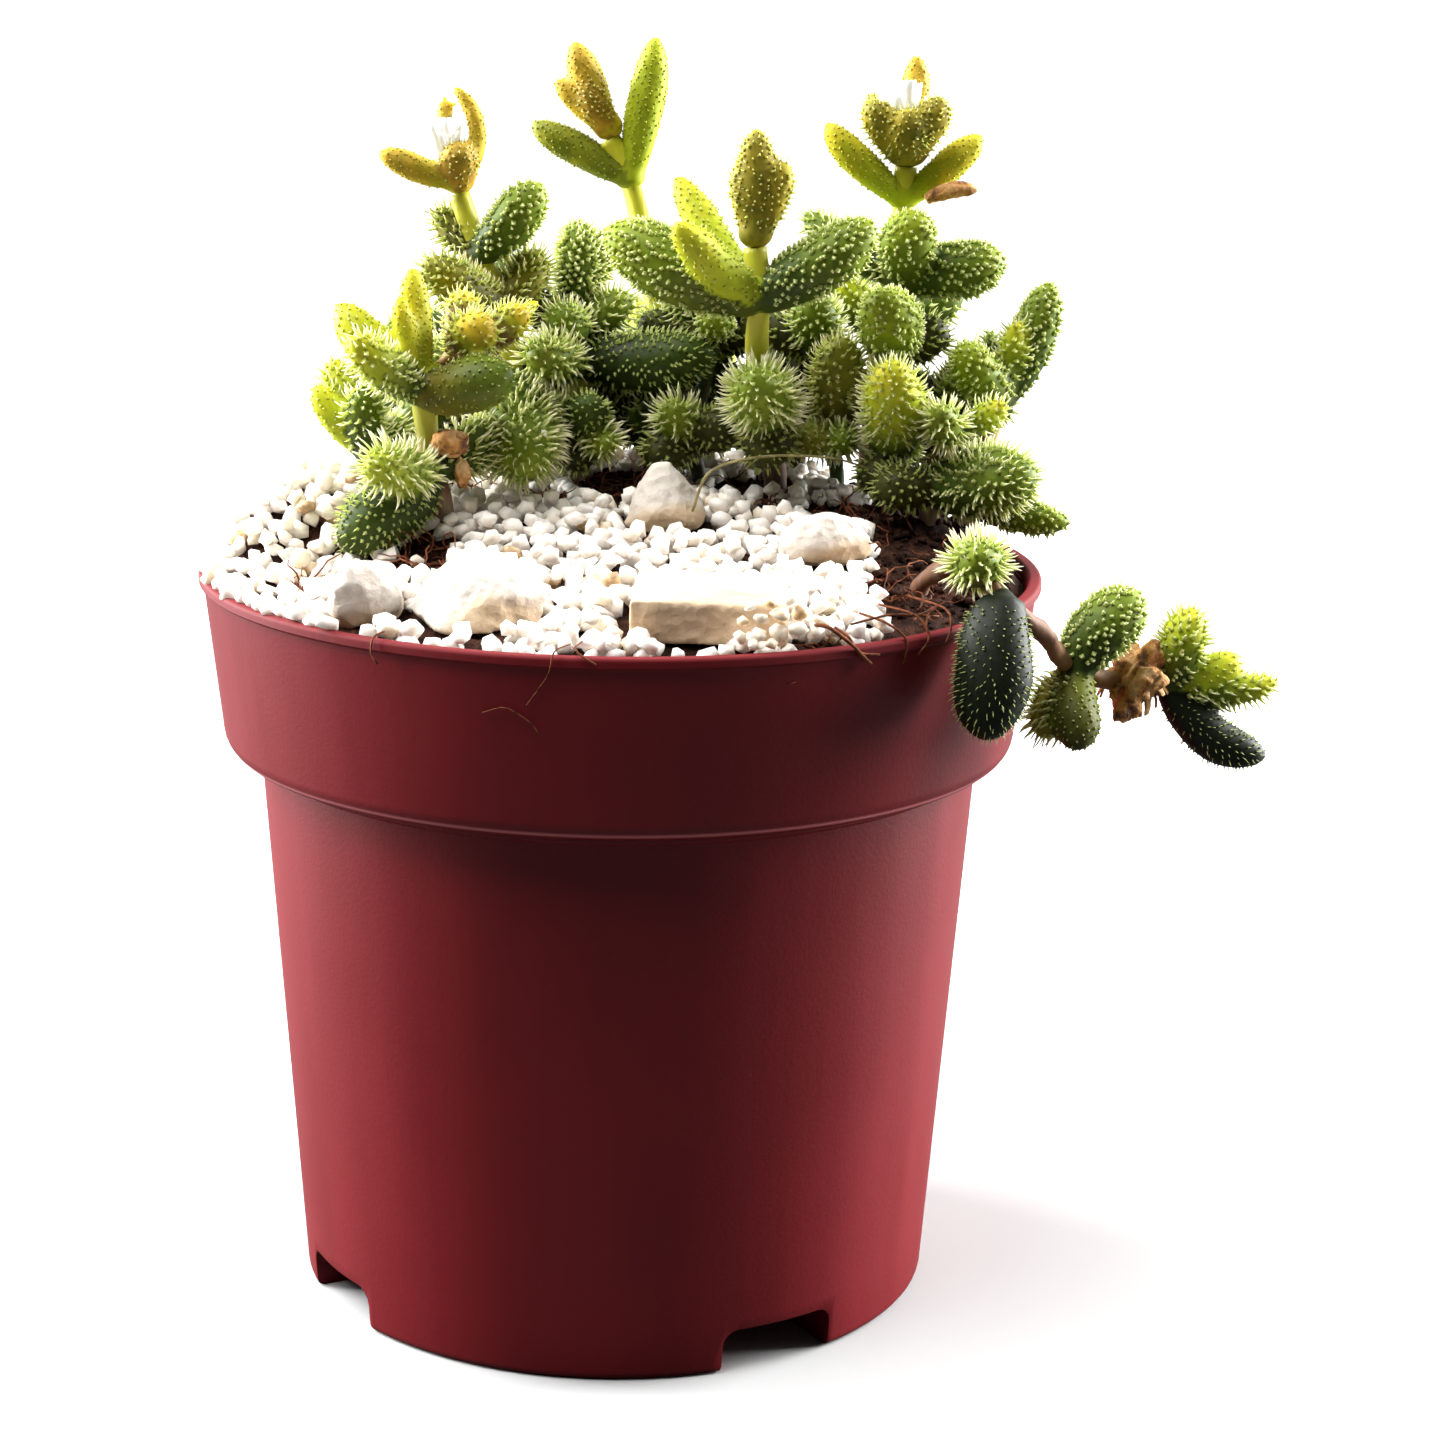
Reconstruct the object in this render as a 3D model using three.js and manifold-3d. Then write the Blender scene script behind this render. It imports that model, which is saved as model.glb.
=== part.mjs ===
// A pickle plant in a round nursery pot with a stepped collar.
// Millimetres, +Z up. The origin is the centre of the pot's base, on the surface that it stands on,
// and the side that the photograph shows faces -Y.
import * as THREE from "three";
import { mergeVertices } from "three/addons/utils/BufferGeometryUtils.js";
import Module from "manifold-3d";

const wasm = await Module();
wasm.setup();

// Driving dimensions of the pot.
const RIM_RADIUS = 42.5;
const POT_HEIGHT = 74.7;
const COLLAR_FOOT_RADIUS = 40.1;
const COLLAR_FOOT_HEIGHT = 56.4;
const BODY_TOP_RADIUS = 36.6;
const BASE_RADIUS = 32.5;
const BASE_CHAMFER = 0.8;
const WALL = 1.3;
const LIP_HEIGHT = 1.2;
const LIP_PROUD = 0.5;
const LIP_SLOPE = 0.3;
const STEP_LINE = 0.6;
const COLLAR_FOOT_BEND = 1.8;
const FLOOR_THICKNESS = 1.8;
const POT_SIDES = 36;

// Four drainage recesses under the edge of the base.
const RECESS_COUNT = 4;
const RECESS_FIRST_ANGLE = -60;
const RECESS_WIDTH = 12.4;
const RECESS_HEIGHT = 4.5;
const RECESS_INNER_RADIUS = 20.5;
const RECESS_CORNER = 1.6;
const RECESS_FLARE = 2.2;
const DRAIN_HOLE_RADIUS = 2.6;
const DRAIN_HOLE_PLACE = 26;
const DRAIN_HOLE_SIDES = 10;

// The mound of soil, with a layer of grit on it. It is low at the front and high at the back.
const MOUND_EDGE_HEIGHT = 74.2;
const MOUND_RISE_FRONT = 2;
const MOUND_RISE_BACK = 7;
const MOUND_SLOPE_START = -28;
const MOUND_SLOPE_END = 10;
const MOUND_ROUNDNESS = 8;
const MOUND_RINGS = [1, 0.93, 0.84, 0.68, 0.4, 0];
const GRIT_THICKNESS = 1.5;
const HOLLOW = { x: -27, y: -9, depth: 2.8, reach: 7 };
const HEAP = { x: -36, y: 4, rise: 3.4, reach: 12, roundness: 16 };

// Clearance between pieces that touch.
const GAP = 0.3;

// Plant proportions.
const LEAF_SIDES = 6;
const LEAF_BEND = 18;
const LEAF_FLATNESS = 0.9;
const STEM_SIDES = 6;
const NODE_COLLAR = 1;
const SPRIG_STEM = 0.8;
const SPRIG_NODE = 0.4;
const ROOT_DEPTH = 5;
const FLOWER_SIDES = 8;
const SEPAL_FOOT = 0.35;
const TUFT_FOOT = 0.6;
const TUFT_FOOT_RADIUS = 0.7;
const TUFT_CROWN = 0.6;

// A leaf's outline: [share of its half width, share of its length].
const LEAF_OUTLINE = [[0, 0], [0.66, 0], [0.95, 0.3], [1, 0.6], [0.76, 0.87], [0, 1]];

function material(colour, roughness) {
  return new THREE.MeshStandardMaterial({ color: colour, roughness, metalness: 0 });
}

const RED_PLASTIC = material(0x8e1d2b, 0.38);
const SOIL = material(0x3a211a, 0.95);
const GRIT = material(0xf1ece2, 0.6);
const STONE = material(0xe8dfd0, 0.8);
const GREEN_LEAF = material(0x4f7a35, 0.5);
const LIME_LEAF = material(0x9db93a, 0.5);
const STEM_BARK = material(0x9a9a45, 0.6);
const SEPAL = material(0x9a7b3c, 0.55);
const PETAL = material(0xf8f6ec, 0.45);
const WITHERED = material(0x6b4a2c, 0.9);

const radians = THREE.MathUtils.degToRad;
const group = new THREE.Group();

// Turns a closed geometry into a solid that can be joined and cut.
function toSolid(geometry) {
  const bare = geometry.index ? geometry.toNonIndexed() : geometry.clone();
  bare.deleteAttribute("normal");
  bare.deleteAttribute("uv");
  const merged = mergeVertices(bare, 1e-4);
  const corners = merged.index.array;
  const kept = [];
  for (let i = 0; i < corners.length; i += 3) {
    const [a, b, c] = [corners[i], corners[i + 1], corners[i + 2]];
    if (a !== b && b !== c && c !== a) kept.push(a, b, c);
  }
  const vertProperties = new Float32Array(merged.attributes.position.array);
  const triVerts = new Uint32Array(kept);
  return new wasm.Manifold(new wasm.Mesh({ numProp: 3, vertProperties, triVerts }));
}

// Keeps the main body of a cut solid and drops the slivers.
function mainBody(solid) {
  const bodies = solid.decompose();
  return bodies.reduce((best, body) => (body.volume() > best.volume() ? body : best));
}

function addPiece(name, solid, finish) {
  const { vertProperties, triVerts } = mainBody(solid).getMesh();
  const geometry = new THREE.BufferGeometry();
  geometry.setAttribute("position", new THREE.BufferAttribute(vertProperties, 3));
  geometry.setIndex(new THREE.BufferAttribute(triVerts, 1));
  geometry.computeVertexNormals();
  const mesh = new THREE.Mesh(geometry, finish);
  mesh.name = name;
  group.add(mesh);
}

function joined(solids) {
  return solids.reduce((all, solid) => all.add(solid));
}

function cutBy(solid, cutters) {
  return cutters.reduce((rest, cutter) => rest.subtract(cutter), solid);
}

// A solid of revolution about Z from [radius, height] points, starting and ending on the axis.
function turned(points, sides) {
  const profile = points.map(([radius, height]) => new THREE.Vector2(radius, height));
  return toSolid(new THREE.LatheGeometry(profile, sides).rotateX(Math.PI / 2));
}

// A block with rounded upper corners and a foot that flares out, along a radius of the pot.
function radialBlock(angle, innerRadius, outerRadius, width, bottom, top, corner) {
  const half = width / 2;
  const outline = new THREE.Shape();
  outline.moveTo(-half - RECESS_FLARE, bottom);
  outline.lineTo(half + RECESS_FLARE, bottom);
  outline.lineTo(half + RECESS_FLARE, 0);
  outline.quadraticCurveTo(half, 0, half, RECESS_FLARE);
  outline.lineTo(half, top - corner);
  outline.quadraticCurveTo(half, top, half - corner, top);
  outline.lineTo(corner - half, top);
  outline.quadraticCurveTo(-half, top, -half, top - corner);
  outline.lineTo(-half, RECESS_FLARE);
  outline.quadraticCurveTo(-half, 0, -half - RECESS_FLARE, 0);
  outline.closePath();
  const depth = outerRadius - innerRadius;
  const block = new THREE.ExtrudeGeometry(outline, { depth, bevelEnabled: false, curveSegments: 2 });
  block.translate(0, 0, -outerRadius);
  block.rotateX(Math.PI / 2);
  block.rotateZ(radians(angle));
  return toSolid(block);
}

const recessStep = 360 / RECESS_COUNT;
const recessAngles = Array.from({ length: RECESS_COUNT }, (_, i) => RECESS_FIRST_ANGLE + i * recessStep);

function recessBlocks(grow) {
  return recessAngles.map((angle) =>
    radialBlock(
      angle,
      RECESS_INNER_RADIUS - grow,
      RIM_RADIUS,
      RECESS_WIDTH + 2 * grow,
      -1,
      RECESS_HEIGHT + grow,
      RECESS_CORNER,
    ),
  );
}

// The wall's inside, moved in from the wall by a clearance.
function cavityPoints(clearance) {
  const inset = WALL + clearance;
  const ledge = COLLAR_FOOT_HEIGHT + WALL + clearance;
  const floor = FLOOR_THICKNESS + clearance;
  return {
    floor,
    ledge,
    bottomRadius: BASE_RADIUS - inset,
    neckRadius: BODY_TOP_RADIUS - inset,
    collarRadius: COLLAR_FOOT_RADIUS - inset,
    rimRadius: RIM_RADIUS - inset,
  };
}

function makePot() {
  const outside = turned(
    [
      [0, 0],
      [BASE_RADIUS - BASE_CHAMFER, 0],
      [BASE_RADIUS, BASE_CHAMFER],
      [BODY_TOP_RADIUS, COLLAR_FOOT_HEIGHT - STEP_LINE],
      [BODY_TOP_RADIUS + STEP_LINE, COLLAR_FOOT_HEIGHT],
      [COLLAR_FOOT_RADIUS - COLLAR_FOOT_BEND * 0.8, COLLAR_FOOT_HEIGHT],
      [COLLAR_FOOT_RADIUS - COLLAR_FOOT_BEND * 0.2, COLLAR_FOOT_HEIGHT + COLLAR_FOOT_BEND * 0.35],
      [COLLAR_FOOT_RADIUS, COLLAR_FOOT_HEIGHT + COLLAR_FOOT_BEND],
      [RIM_RADIUS - LIP_PROUD, POT_HEIGHT - LIP_HEIGHT],
      [RIM_RADIUS, POT_HEIGHT - LIP_HEIGHT + LIP_SLOPE],
      [RIM_RADIUS, POT_HEIGHT],
      [0, POT_HEIGHT],
    ],
    POT_SIDES,
  );
  const inner = cavityPoints(0);
  const cavity = turned(
    [
      [0, inner.floor],
      [inner.bottomRadius, inner.floor],
      [inner.neckRadius, inner.ledge],
      [inner.collarRadius, inner.ledge],
      [inner.rimRadius, POT_HEIGHT],
      [inner.rimRadius, POT_HEIGHT + 5],
      [0, POT_HEIGHT + 5],
    ],
    POT_SIDES,
  );
  const shell = outside.subtract(cutBy(cavity, recessBlocks(WALL)));
  const holeTop = RECESS_HEIGHT + 2 * WALL;
  const holes = recessAngles.map((angle) => {
    const hole = [[0, 0], [DRAIN_HOLE_RADIUS, 0], [DRAIN_HOLE_RADIUS, holeTop], [0, holeTop]];
    return turned(hole, DRAIN_HOLE_SIDES).translate([0, -DRAIN_HOLE_PLACE, 0]).rotate([0, 0, angle]);
  });
  return cutBy(shell, [...recessBlocks(0), ...holes]);
}

// How much of a bump or a hollow is left over a point of the plan.
function swellAt(x, y, spot) {
  const away = Math.hypot(x - spot.x, y - spot.y) / spot.reach;
  return Math.exp(-away * away);
}

// Height of the finished mound, grit included, over a point of the pot's plan. A shallow hollow
// lies under the lowest leaf on the left, and the grit is heaped up behind it.
function moundHeight(x, y) {
  const t = THREE.MathUtils.smoothstep(y, MOUND_SLOPE_START, MOUND_SLOPE_END);
  const rise = THREE.MathUtils.lerp(MOUND_RISE_FRONT, MOUND_RISE_BACK, t);
  const reach = Math.min(Math.hypot(x, y) / (RIM_RADIUS - WALL), 1);
  const dip = HOLLOW.depth * swellAt(x, y, HOLLOW);
  const heaped = HEAP.rise * swellAt(x, y, HEAP) * (1 - reach ** HEAP.roundness);
  return MOUND_EDGE_HEIGHT + rise * (1 - reach ** MOUND_ROUNDNESS) + heaped - dip;
}

// A solid that follows the mound's top at a given drop below it, down to the pot's floor.
function moundSolid(drop, clearance) {
  const inner = cavityPoints(clearance);
  const profile = [
    new THREE.Vector2(0, inner.floor),
    new THREE.Vector2(inner.bottomRadius, inner.floor),
    new THREE.Vector2(inner.neckRadius, inner.ledge),
    new THREE.Vector2(inner.collarRadius, inner.ledge),
    ...MOUND_RINGS.map((share) => new THREE.Vector2(inner.rimRadius * share, POT_HEIGHT)),
  ];
  const lathe = new THREE.LatheGeometry(profile, POT_SIDES).rotateX(Math.PI / 2);
  const place = lathe.attributes.position;
  for (let i = 0; i < place.count; i += 1) {
    if (place.getZ(i) > inner.ledge + 1) {
      place.setZ(i, moundHeight(place.getX(i), place.getY(i)) - drop);
    }
  }
  return toSolid(lathe);
}

// Corners of the two split stones, as shares of their half sizes from the middle.
const LARGE_STONE_CORNERS = [
  [-1, 0.15, -0.3],
  [-0.5, -1, -0.65],
  [0.4, -0.55, 0.2],
  [1, -0.15, 0],
  [0.75, 0.5, 0.55],
  [0.25, 0.55, 1],
  [-0.15, 0.45, 1],
  [-0.7, 0.5, 0.35],
  [0.25, -0.9, -0.9],
  [0.85, -0.5, -0.8],
  [-0.6, 0.3, -1],
  [0.6, 0.6, -1],
  [-0.1, -0.6, -1],
];
const BACK_STONE_CORNERS = [
  [-1, -0.2, -0.6],
  [-0.75, 0.2, 0.1],
  [-0.35, 0.2, 0.95],
  [0.05, 0.1, 1],
  [0.6, 0.1, 0.3],
  [1, -0.1, -0.4],
  [0.3, -0.8, -0.3],
  [-0.4, -0.8, -0.2],
  [-0.6, -0.5, -1],
  [0.7, -0.5, -1],
  [0, 0.9, -0.9],
  [0.6, 0.7, 0.1],
  [-0.4, 0.8, 0.2],
];

// Stones that lie in the grit: plan position, half sizes and turn. A split stone has corners of its
// own, and an uneven one has the seed of its unevenness.
const STONES = [
  { name: "stone_rounded", at: [-23.8, -26.2], size: [3.8, 3.2, 3.4], turn: 20, seed: 3 },
  { name: "stone_large", at: [-13.4, -28], size: [6.9, 5, 3.8], turn: 0, corners: LARGE_STONE_CORNERS },
  { name: "stone_slab", at: [8.3, -28.2], size: [7.9, 8.4, 2.6], turn: -3, seed: 0 },
  { name: "stone_flat", at: [19.8, -9.5], size: [4.8, 4, 2.8], turn: 15, seed: 12 },
  { name: "stone_back", at: [4.6, -1.5], size: [4.8, 4, 4], turn: 0, corners: BACK_STONE_CORNERS },
];

// A stone is uneven by this share of its size, and its middle stands this share of its half height
// above the soil.
const STONE_UNEVENNESS = 0.13;
const STONE_SHOWING = 0.72;

// The slab before it is sized, as [length, width, height] where a round stone's would all be 2.
const SLAB_BLOCK = [1.8, 1.8, 1.5];

// The height of the middle of a stone.
function stoneMiddle(at, size) {
  return moundHeight(...at) - GRIT_THICKNESS + size[2] * STONE_SHOWING;
}

function splitStone({ at, size, turn, corners }, grow) {
  const points = corners.map((corner) => corner.map((share, axis) => share * (size[axis] + grow)));
  return wasm.Manifold.hull(points).rotate([0, 0, turn]).translate([...at, stoneMiddle(at, size)]);
}

// An uneven stone. Seed 0 makes a squared slab.
function unevenStone({ at, size, turn, seed }, grow) {
  const slab = new THREE.BoxGeometry(...SLAB_BLOCK, 2, 2, 1);
  const shape = seed ? new THREE.IcosahedronGeometry(1, 1) : slab;
  const place = shape.attributes.position;
  for (let i = 0; i < place.count; i += 1) {
    const [x, y, z] = [place.getX(i), place.getY(i), place.getZ(i)];
    const wave = Math.sin(seed * 5.1 + x * 3.1) * Math.cos(seed * 2.3 + y * 3.7 + z * 1.9);
    const swell = 1 + STONE_UNEVENNESS * wave;
    place.setXYZ(i, ...[x, y, z].map((value, axis) => swell * value * (size[axis] + grow)));
  }
  shape.rotateZ(radians(turn));
  shape.translate(...at, stoneMiddle(at, size));
  return toSolid(shape);
}

function stoneSolid(stone, grow) {
  return stone.corners ? splitStone(stone, grow) : unevenStone(stone, grow);
}

// A stem: a tube along a smooth curve through its points.
function stemSolid(path, radius) {
  const curve = new THREE.CatmullRomCurve3(path.map((point) => new THREE.Vector3(...point)));
  const ring = new THREE.Shape();
  for (let i = 0; i < STEM_SIDES; i += 1) {
    const angle = (i * 2 * Math.PI) / STEM_SIDES;
    const [x, y] = [radius * Math.cos(angle), radius * Math.sin(angle)];
    if (i === 0) ring.moveTo(x, y);
    else ring.lineTo(x, y);
  }
  ring.closePath();
  const steps = Math.max(2, 2 * (path.length - 1));
  return toSolid(new THREE.ExtrudeGeometry(ring, { steps, extrudePath: curve, bevelEnabled: false }));
}

// A fleshy leaf from its node: turn is from +X towards +Y, rise is above level, both in degrees.
// Width is across the flats at the fattest place, and the leaf bends up a little along its length.
function leafSolid(node, [turn, rise, length, width, bend = LEAF_BEND], grow = 0) {
  const half = (width / 2 + grow) / Math.cos(Math.PI / LEAF_SIDES);
  const reach = length + grow;
  const profile = LEAF_OUTLINE.map(([across, along]) => new THREE.Vector2(across * half, along * reach));
  const leaf = new THREE.LatheGeometry(profile, LEAF_SIDES);
  const place = leaf.attributes.position;
  const curve = radians(bend) / length;
  for (let i = 0; i < place.count; i += 1) {
    const angle = place.getY(i) * curve;
    const side = -place.getX(i);
    const up = place.getZ(i) * LEAF_FLATNESS;
    const forward = Math.sin(angle) / curve - up * Math.sin(angle);
    place.setXYZ(i, forward, side, (1 - Math.cos(angle)) / curve + up * Math.cos(angle));
  }
  leaf.rotateY(-radians(rise - bend / 2));
  leaf.rotateZ(radians(turn));
  leaf.translate(...node);
  return toSolid(leaf);
}

// The thickened ring where leaves join round a stem.
function nodeBead(node, radius) {
  return toSolid(new THREE.IcosahedronGeometry(radius * 1.1, 0).translate(...node));
}

// Leaves that grow from one node, joined at their feet.
function whorlSolid(node, leaves, stemRadius, grow = 0) {
  const bead = nodeBead(node, stemRadius + GAP + NODE_COLLAR + grow);
  return joined([bead, ...leaves.map((leaf) => leafSolid(node, leaf, grow))]);
}

// Shoots of the plant. A path lists points from the root to the tip. The leaves of a whorl are
// [turn, rise, length, width, bend], and each whorl sits on the path point that its number gives.
// A flower or a bud stands at the end of a path: cup is [radius, height], and its sepals are leaves.
const SHOOTS = [
  {
    name: "left",
    radius: 1.15,
    path: [[-18, -2, 80], [-19, -2, 84.5], [-20, -2, 92]],
    fork: [[-20, -2, 92], [-18.5, 1, 94], [-16.5, 3.5, 95.5]],
    whorls: {
      1: [[-141, -30, 13, 6.8], [-116, 11, 12.5, 4.8], [44, 22, 9.5, 5.2]],
      2: [
        [167, 45, 12.5, 4.9],
        [-18, 17, 10, 6],
        [-133, 35, 11.5, 4.3],
        [111, 76, 13, 3.4],
        [-155, 77, 10.5, 2.7],
      ],
    },
    sprig: [[-69, 32, 8, 5], [87, 64, 6.8, 3.9], [-4, 35, 8.5, 4.2], [29, 29, 10.5, 2.2]],
    young: true,
  },
  {
    name: "centre",
    radius: 1.2,
    path: [[16, 12, 81], [15, 9.5, 88.5], [13.5, 4, 96], [13.5, 2, 101.5], [13, 2, 106.6]],
    whorls: {
      1: [[-98, 25, 14, 6.4], [-92, -18, 9, 5.4], [80, 5, 8, 5]],
      3: [[176, 23, 17, 7.4], [-10, 35, 14, 6.2], [-138, 35, 14.5, 4.4], [141, 47, 16, 4]],
    },
    flower: {
      name: "bud",
      cup: [1.9, 2.6],
      sepals: [[-90, 86, 10.8, 5, 4], [-10, 74, 8.2, 3.6], [165, 80, 8, 3.2], [90, 84, 8.6, 3.4]],
    },
  },
  {
    name: "right_flower",
    radius: 1.15,
    path: [
      [28.5, 8, 80.5],
      [28.3, 8.5, 84.5],
      [28.5, 12, 95],
      [28.5, 12, 102.6],
      [28.5, 12, 110.8],
      [28.7, 12, 114],
    ],
    whorls: {
      1: [[-98, 47, 15.5, 6.2], [-116, -10, 7.4, 4.8], [80, 8, 9, 5]],
      2: [[-104, 35, 12.5, 6.3], [0, 33, 5.8, 5], [85, 10, 10, 5.6]],
      3: [[-83, 55, 9, 5.6], [-5, 11, 11, 6.2, 6], [158, 30, 12.5, 3.9]],
      4: [[-170, 42, 11.5, 3.6], [0, 40, 10.5, 3.6]],
    },
    flower: {
      name: "calyx",
      cup: [2.4, 3.4],
      sepals: [
        [-150, 50, 7.5, 4],
        [-40, 55, 7.5, 4],
        [60, 80, 10.4, 3.2],
        [150, 55, 7.5, 3.6],
        [-95, 48, 6.5, 4],
      ],
      tuft: [2.6, 8.6],
    },
  },
  {
    name: "front_right",
    radius: 1.05,
    path: [[31.5, 3, 79], [31.5, 3.5, 82.5], [33.5, 5, 87.5]],
    whorls: {
      1: [[-37, 13, 12.5, 7.4], [-135, 8, 8, 5], [-10, -13, 15, 4]],
      2: [[-103, 23, 10, 3.6], [-29, 33, 7.3, 2.8]],
    },
  },
  {
    name: "trailing",
    radius: 0.85,
    path: [
      [29, -17, 76.5],
      [33.3, -21.5, 79.3],
      [35.4, -29, 77.6],
      [39.6, -27, 74],
      [43.3, -21.5, 69.2],
      [48.5, -18, 67.2],
      [53.7, -16, 66.1],
    ],
    whorls: {
      1: [[-92, 17, 10, 4.8]],
      2: [[-109, -72, 13.5, 7.2, -30]],
      4: [[13, 46, 10, 6.2, -30], [-144, -55, 7.4, 4.5], [-88, -51, 8.5, 4.8]],
      6: [[0, 74, 8.5, 4.6, -14], [8, 23, 8, 3.8], [0, 5, 11, 3, 30], [-6, -33, 12, 4.2, 60]],
    },
  },
  {
    name: "left_flower",
    radius: 1.1,
    path: [[-10, 14, 82], [-11.5, 14, 91], [-12.5, 14, 98.5], [-15, 15, 104], [-17.2, 16, 110.2]],
    whorls: {
      1: [[-84, -23, 16.5, 8], [165, 15, 12, 5.4], [100, 15, 9, 5]],
      2: [[-148, 31, 11, 4.9], [29, 56, 7.5, 4.6], [90, 30, 8, 5]],
      3: [[147, 40, 7.2, 3.5], [-26, 49, 10.5, 5.2]],
    },
    flower: {
      name: "calyx",
      cup: [2.2, 3.6],
      sepals: [[-173, 21, 9, 3.1], [148, 78, 9, 2.3], [-40, 75, 6.2, 2.3], [-91, 47, 4.7, 3.3]],
      tuft: [2.4, 7.6],
    },
  },
  {
    name: "upright",
    radius: 1.1,
    path: [[-5, 17, 81], [-4.5, 16.5, 86], [-5, 16.5, 93], [-5.5, 19, 98.5]],
    whorls: {
      1: [
        [-110, 21, 12, 3.8],
        [-85, 21, 12.5, 4.6],
        [-75, 1, 12, 3.6],
        [-95, -15, 9, 4.6],
        [70, 8, 9, 5],
      ],
      2: [[-14, 6, 15, 6.6], [-111, 12, 11.5, 5], [105, 32, 6.8, 4.2]],
      3: [[0, 87, 9, 4.7], [57, 52, 9.5, 3.2]],
    },
  },
  {
    name: "tall",
    radius: 1.25,
    path: [[3.5, 24, 81], [4, 24, 92], [2.5, 24, 103], [0.5, 24, 111.5], [-1.9, 24, 115.4]],
    whorls: {
      1: [[-12, -10, 9, 5.4], [110, 25, 12, 5.4], [-172, 5, 8, 5], [111, 42, 8.5, 4]],
      3: [[0, 80, 15, 3.9, 6], [180, 28, 12, 3.8, 6]],
    },
    flower: {
      name: "calyx",
      cup: [1.7, 2.6],
      sepals: [[180, 68, 10, 3.9, 4], [180, 43, 7.9, 2.5, 8], [-120, 43, 5.6, 3.2]],
    },
  },
  {
    name: "right",
    radius: 1.05,
    path: [[36, 9, 77.5], [37.5, 12, 84], [39.5, 12, 90]],
    whorls: {
      2: [
        [0, 70, 13.5, 4.8],
        [-126, 37, 11, 4.9],
        [-74, 71, 9.5, 2.8],
        [114, 66, 7.9, 2.3],
        [115, 30, 10, 4.8],
        [60, -10, 9, 5.2],
      ],
    },
  },
  {
    name: "low_left",
    radius: 0.9,
    short: true,
    path: [[-26, 4, 81], [-26, 4, 85]],
    whorls: {
      1: [[-169, 53, 9, 3.3], [140, 63, 10.5, 4.4], [57, 24, 6.5, 4.2], [-89, 62, 8.5, 3.8]],
    },
  },
  {
    name: "mid_right",
    radius: 0.9,
    short: true,
    path: [[22.5, 12.5, 81.5], [21.8, 13.5, 86], [20.5, 17, 94.5]],
    whorls: {
      1: [[-86, 60, 13, 5.5], [-110, 5, 9, 3.6], [-85, 6, 9.5, 3.6], [80, 10, 8, 5]],
      2: [[-172, 32, 7, 5], [-100, 45, 9, 4.8], [85, 20, 7, 5]],
    },
  },
  {
    name: "low_centre",
    radius: 0.9,
    short: true,
    path: [[8, 14, 81.5], [7.5, 15, 86], [10, 19.5, 97]],
    whorls: {
      1: [[-109, 23, 9.5, 4.2], [-68, 13, 9, 5], [-124, -11, 8.5, 5], [150, 10, 8, 4.8]],
      2: [[-96, -3, 8.5, 3.8], [80, 25, 7, 5], [170, 30, 6.5, 4.4]],
    },
  },
  {
    name: "back_left",
    radius: 1,
    path: [[-19.5, 22, 80.5], [-20, 23, 86], [-19, 23.5, 92]],
    whorls: {
      1: [[175, 5, 10, 5.6], [85, 10, 11, 5.6], [-105, 12, 9, 5], [0, 8, 8, 5]],
      2: [[120, 30, 10, 5.2], [-165, 25, 8, 4.8], [30, 45, 9, 4.8]],
    },
  },
  {
    name: "back_centre",
    radius: 1,
    path: [[10, 32, 79], [11, 33, 86], [11.5, 32, 94]],
    whorls: {
      1: [[-165, 5, 12, 5.6], [65, 8, 10, 5.6], [-35, 8, 10, 5.2]],
      2: [[95, 35, 11, 5.4], [-150, 38, 11, 5], [-10, 50, 10, 5]],
    },
  },
  {
    name: "back_right",
    radius: 1,
    path: [[26.5, 25, 79.5], [27, 26, 87], [27.5, 25.5, 95]],
    whorls: {
      1: [[55, 5, 10, 5.6], [150, 12, 8, 5.2], [-30, 6, 10, 5.2]],
      2: [[95, 40, 11, 5.2], [-5, 32, 10.5, 5.2], [-165, 55, 9, 4.6]],
    },
  },
];

// A dry leaf that hangs on under the right flower, and the withered flower on the trailing stem.
const DRY_LEAF = { node: [30.8, 9.3, 110.9], leaf: [-6, 12, 5.4, 2.2] };
const WITHERED_FLOWER = {
  path: [[48.4, -18, 67.4], [51.2, -17, 66.8]],
  radius: 2.6,
  sepals: [[100, 55, 5, 3], [-70, 20, 5, 3], [-10, 60, 4.6, 3], [-110, -45, 4.6, 3]],
};

// A stem's path carried on into the soil.
function rootedPath(path) {
  const [x, y, z] = path[0];
  return [[x, y, z - ROOT_DEPTH], ...path];
}

// A point a short way back from the end of a path.
function pointBefore(path, distance) {
  const end = new THREE.Vector3(...path.at(-1));
  const before = new THREE.Vector3(...path.at(-2));
  return end.lerp(before, distance / end.distanceTo(before)).toArray();
}

// A side sprig that grows out of the last whorl: its own short stem and leaves.
function sprigSolid(fork, leaves, radius, grow = 0) {
  const stem = stemSolid(fork, radius * SPRIG_STEM + grow);
  return stem.add(whorlSolid(fork.at(-1), leaves, radius * SPRIG_NODE, grow));
}

function cupSolid([x, y, z], [radius, height]) {
  const points = [[0, 0], [radius * 0.45, 0], [radius, height * 0.5], [radius * 0.9, height], [0, height]];
  return turned(points, FLOWER_SIDES).translate([x, y, z]);
}

// The tuft of petals: a slim cone that opens upward, from a lift above the calyx's foot.
function tuftSolid([x, y, z], [radius, height], lift, grow) {
  const foot = lift - grow;
  const crown = height + TUFT_CROWN;
  const points = [[0, foot], [TUFT_FOOT_RADIUS + grow, foot], [radius + grow, height], [0, crown]];
  return turned(points, FLOWER_SIDES).translate([x, y, z]);
}

// The stem stops short of its last whorl or of its flower, which caps it.
function stemPathOf({ path, radius, flower }) {
  const stop = pointBefore(path, flower ? 2 * GAP : radius + GAP);
  return [...rootedPath(path).slice(0, -1), stop];
}

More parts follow.
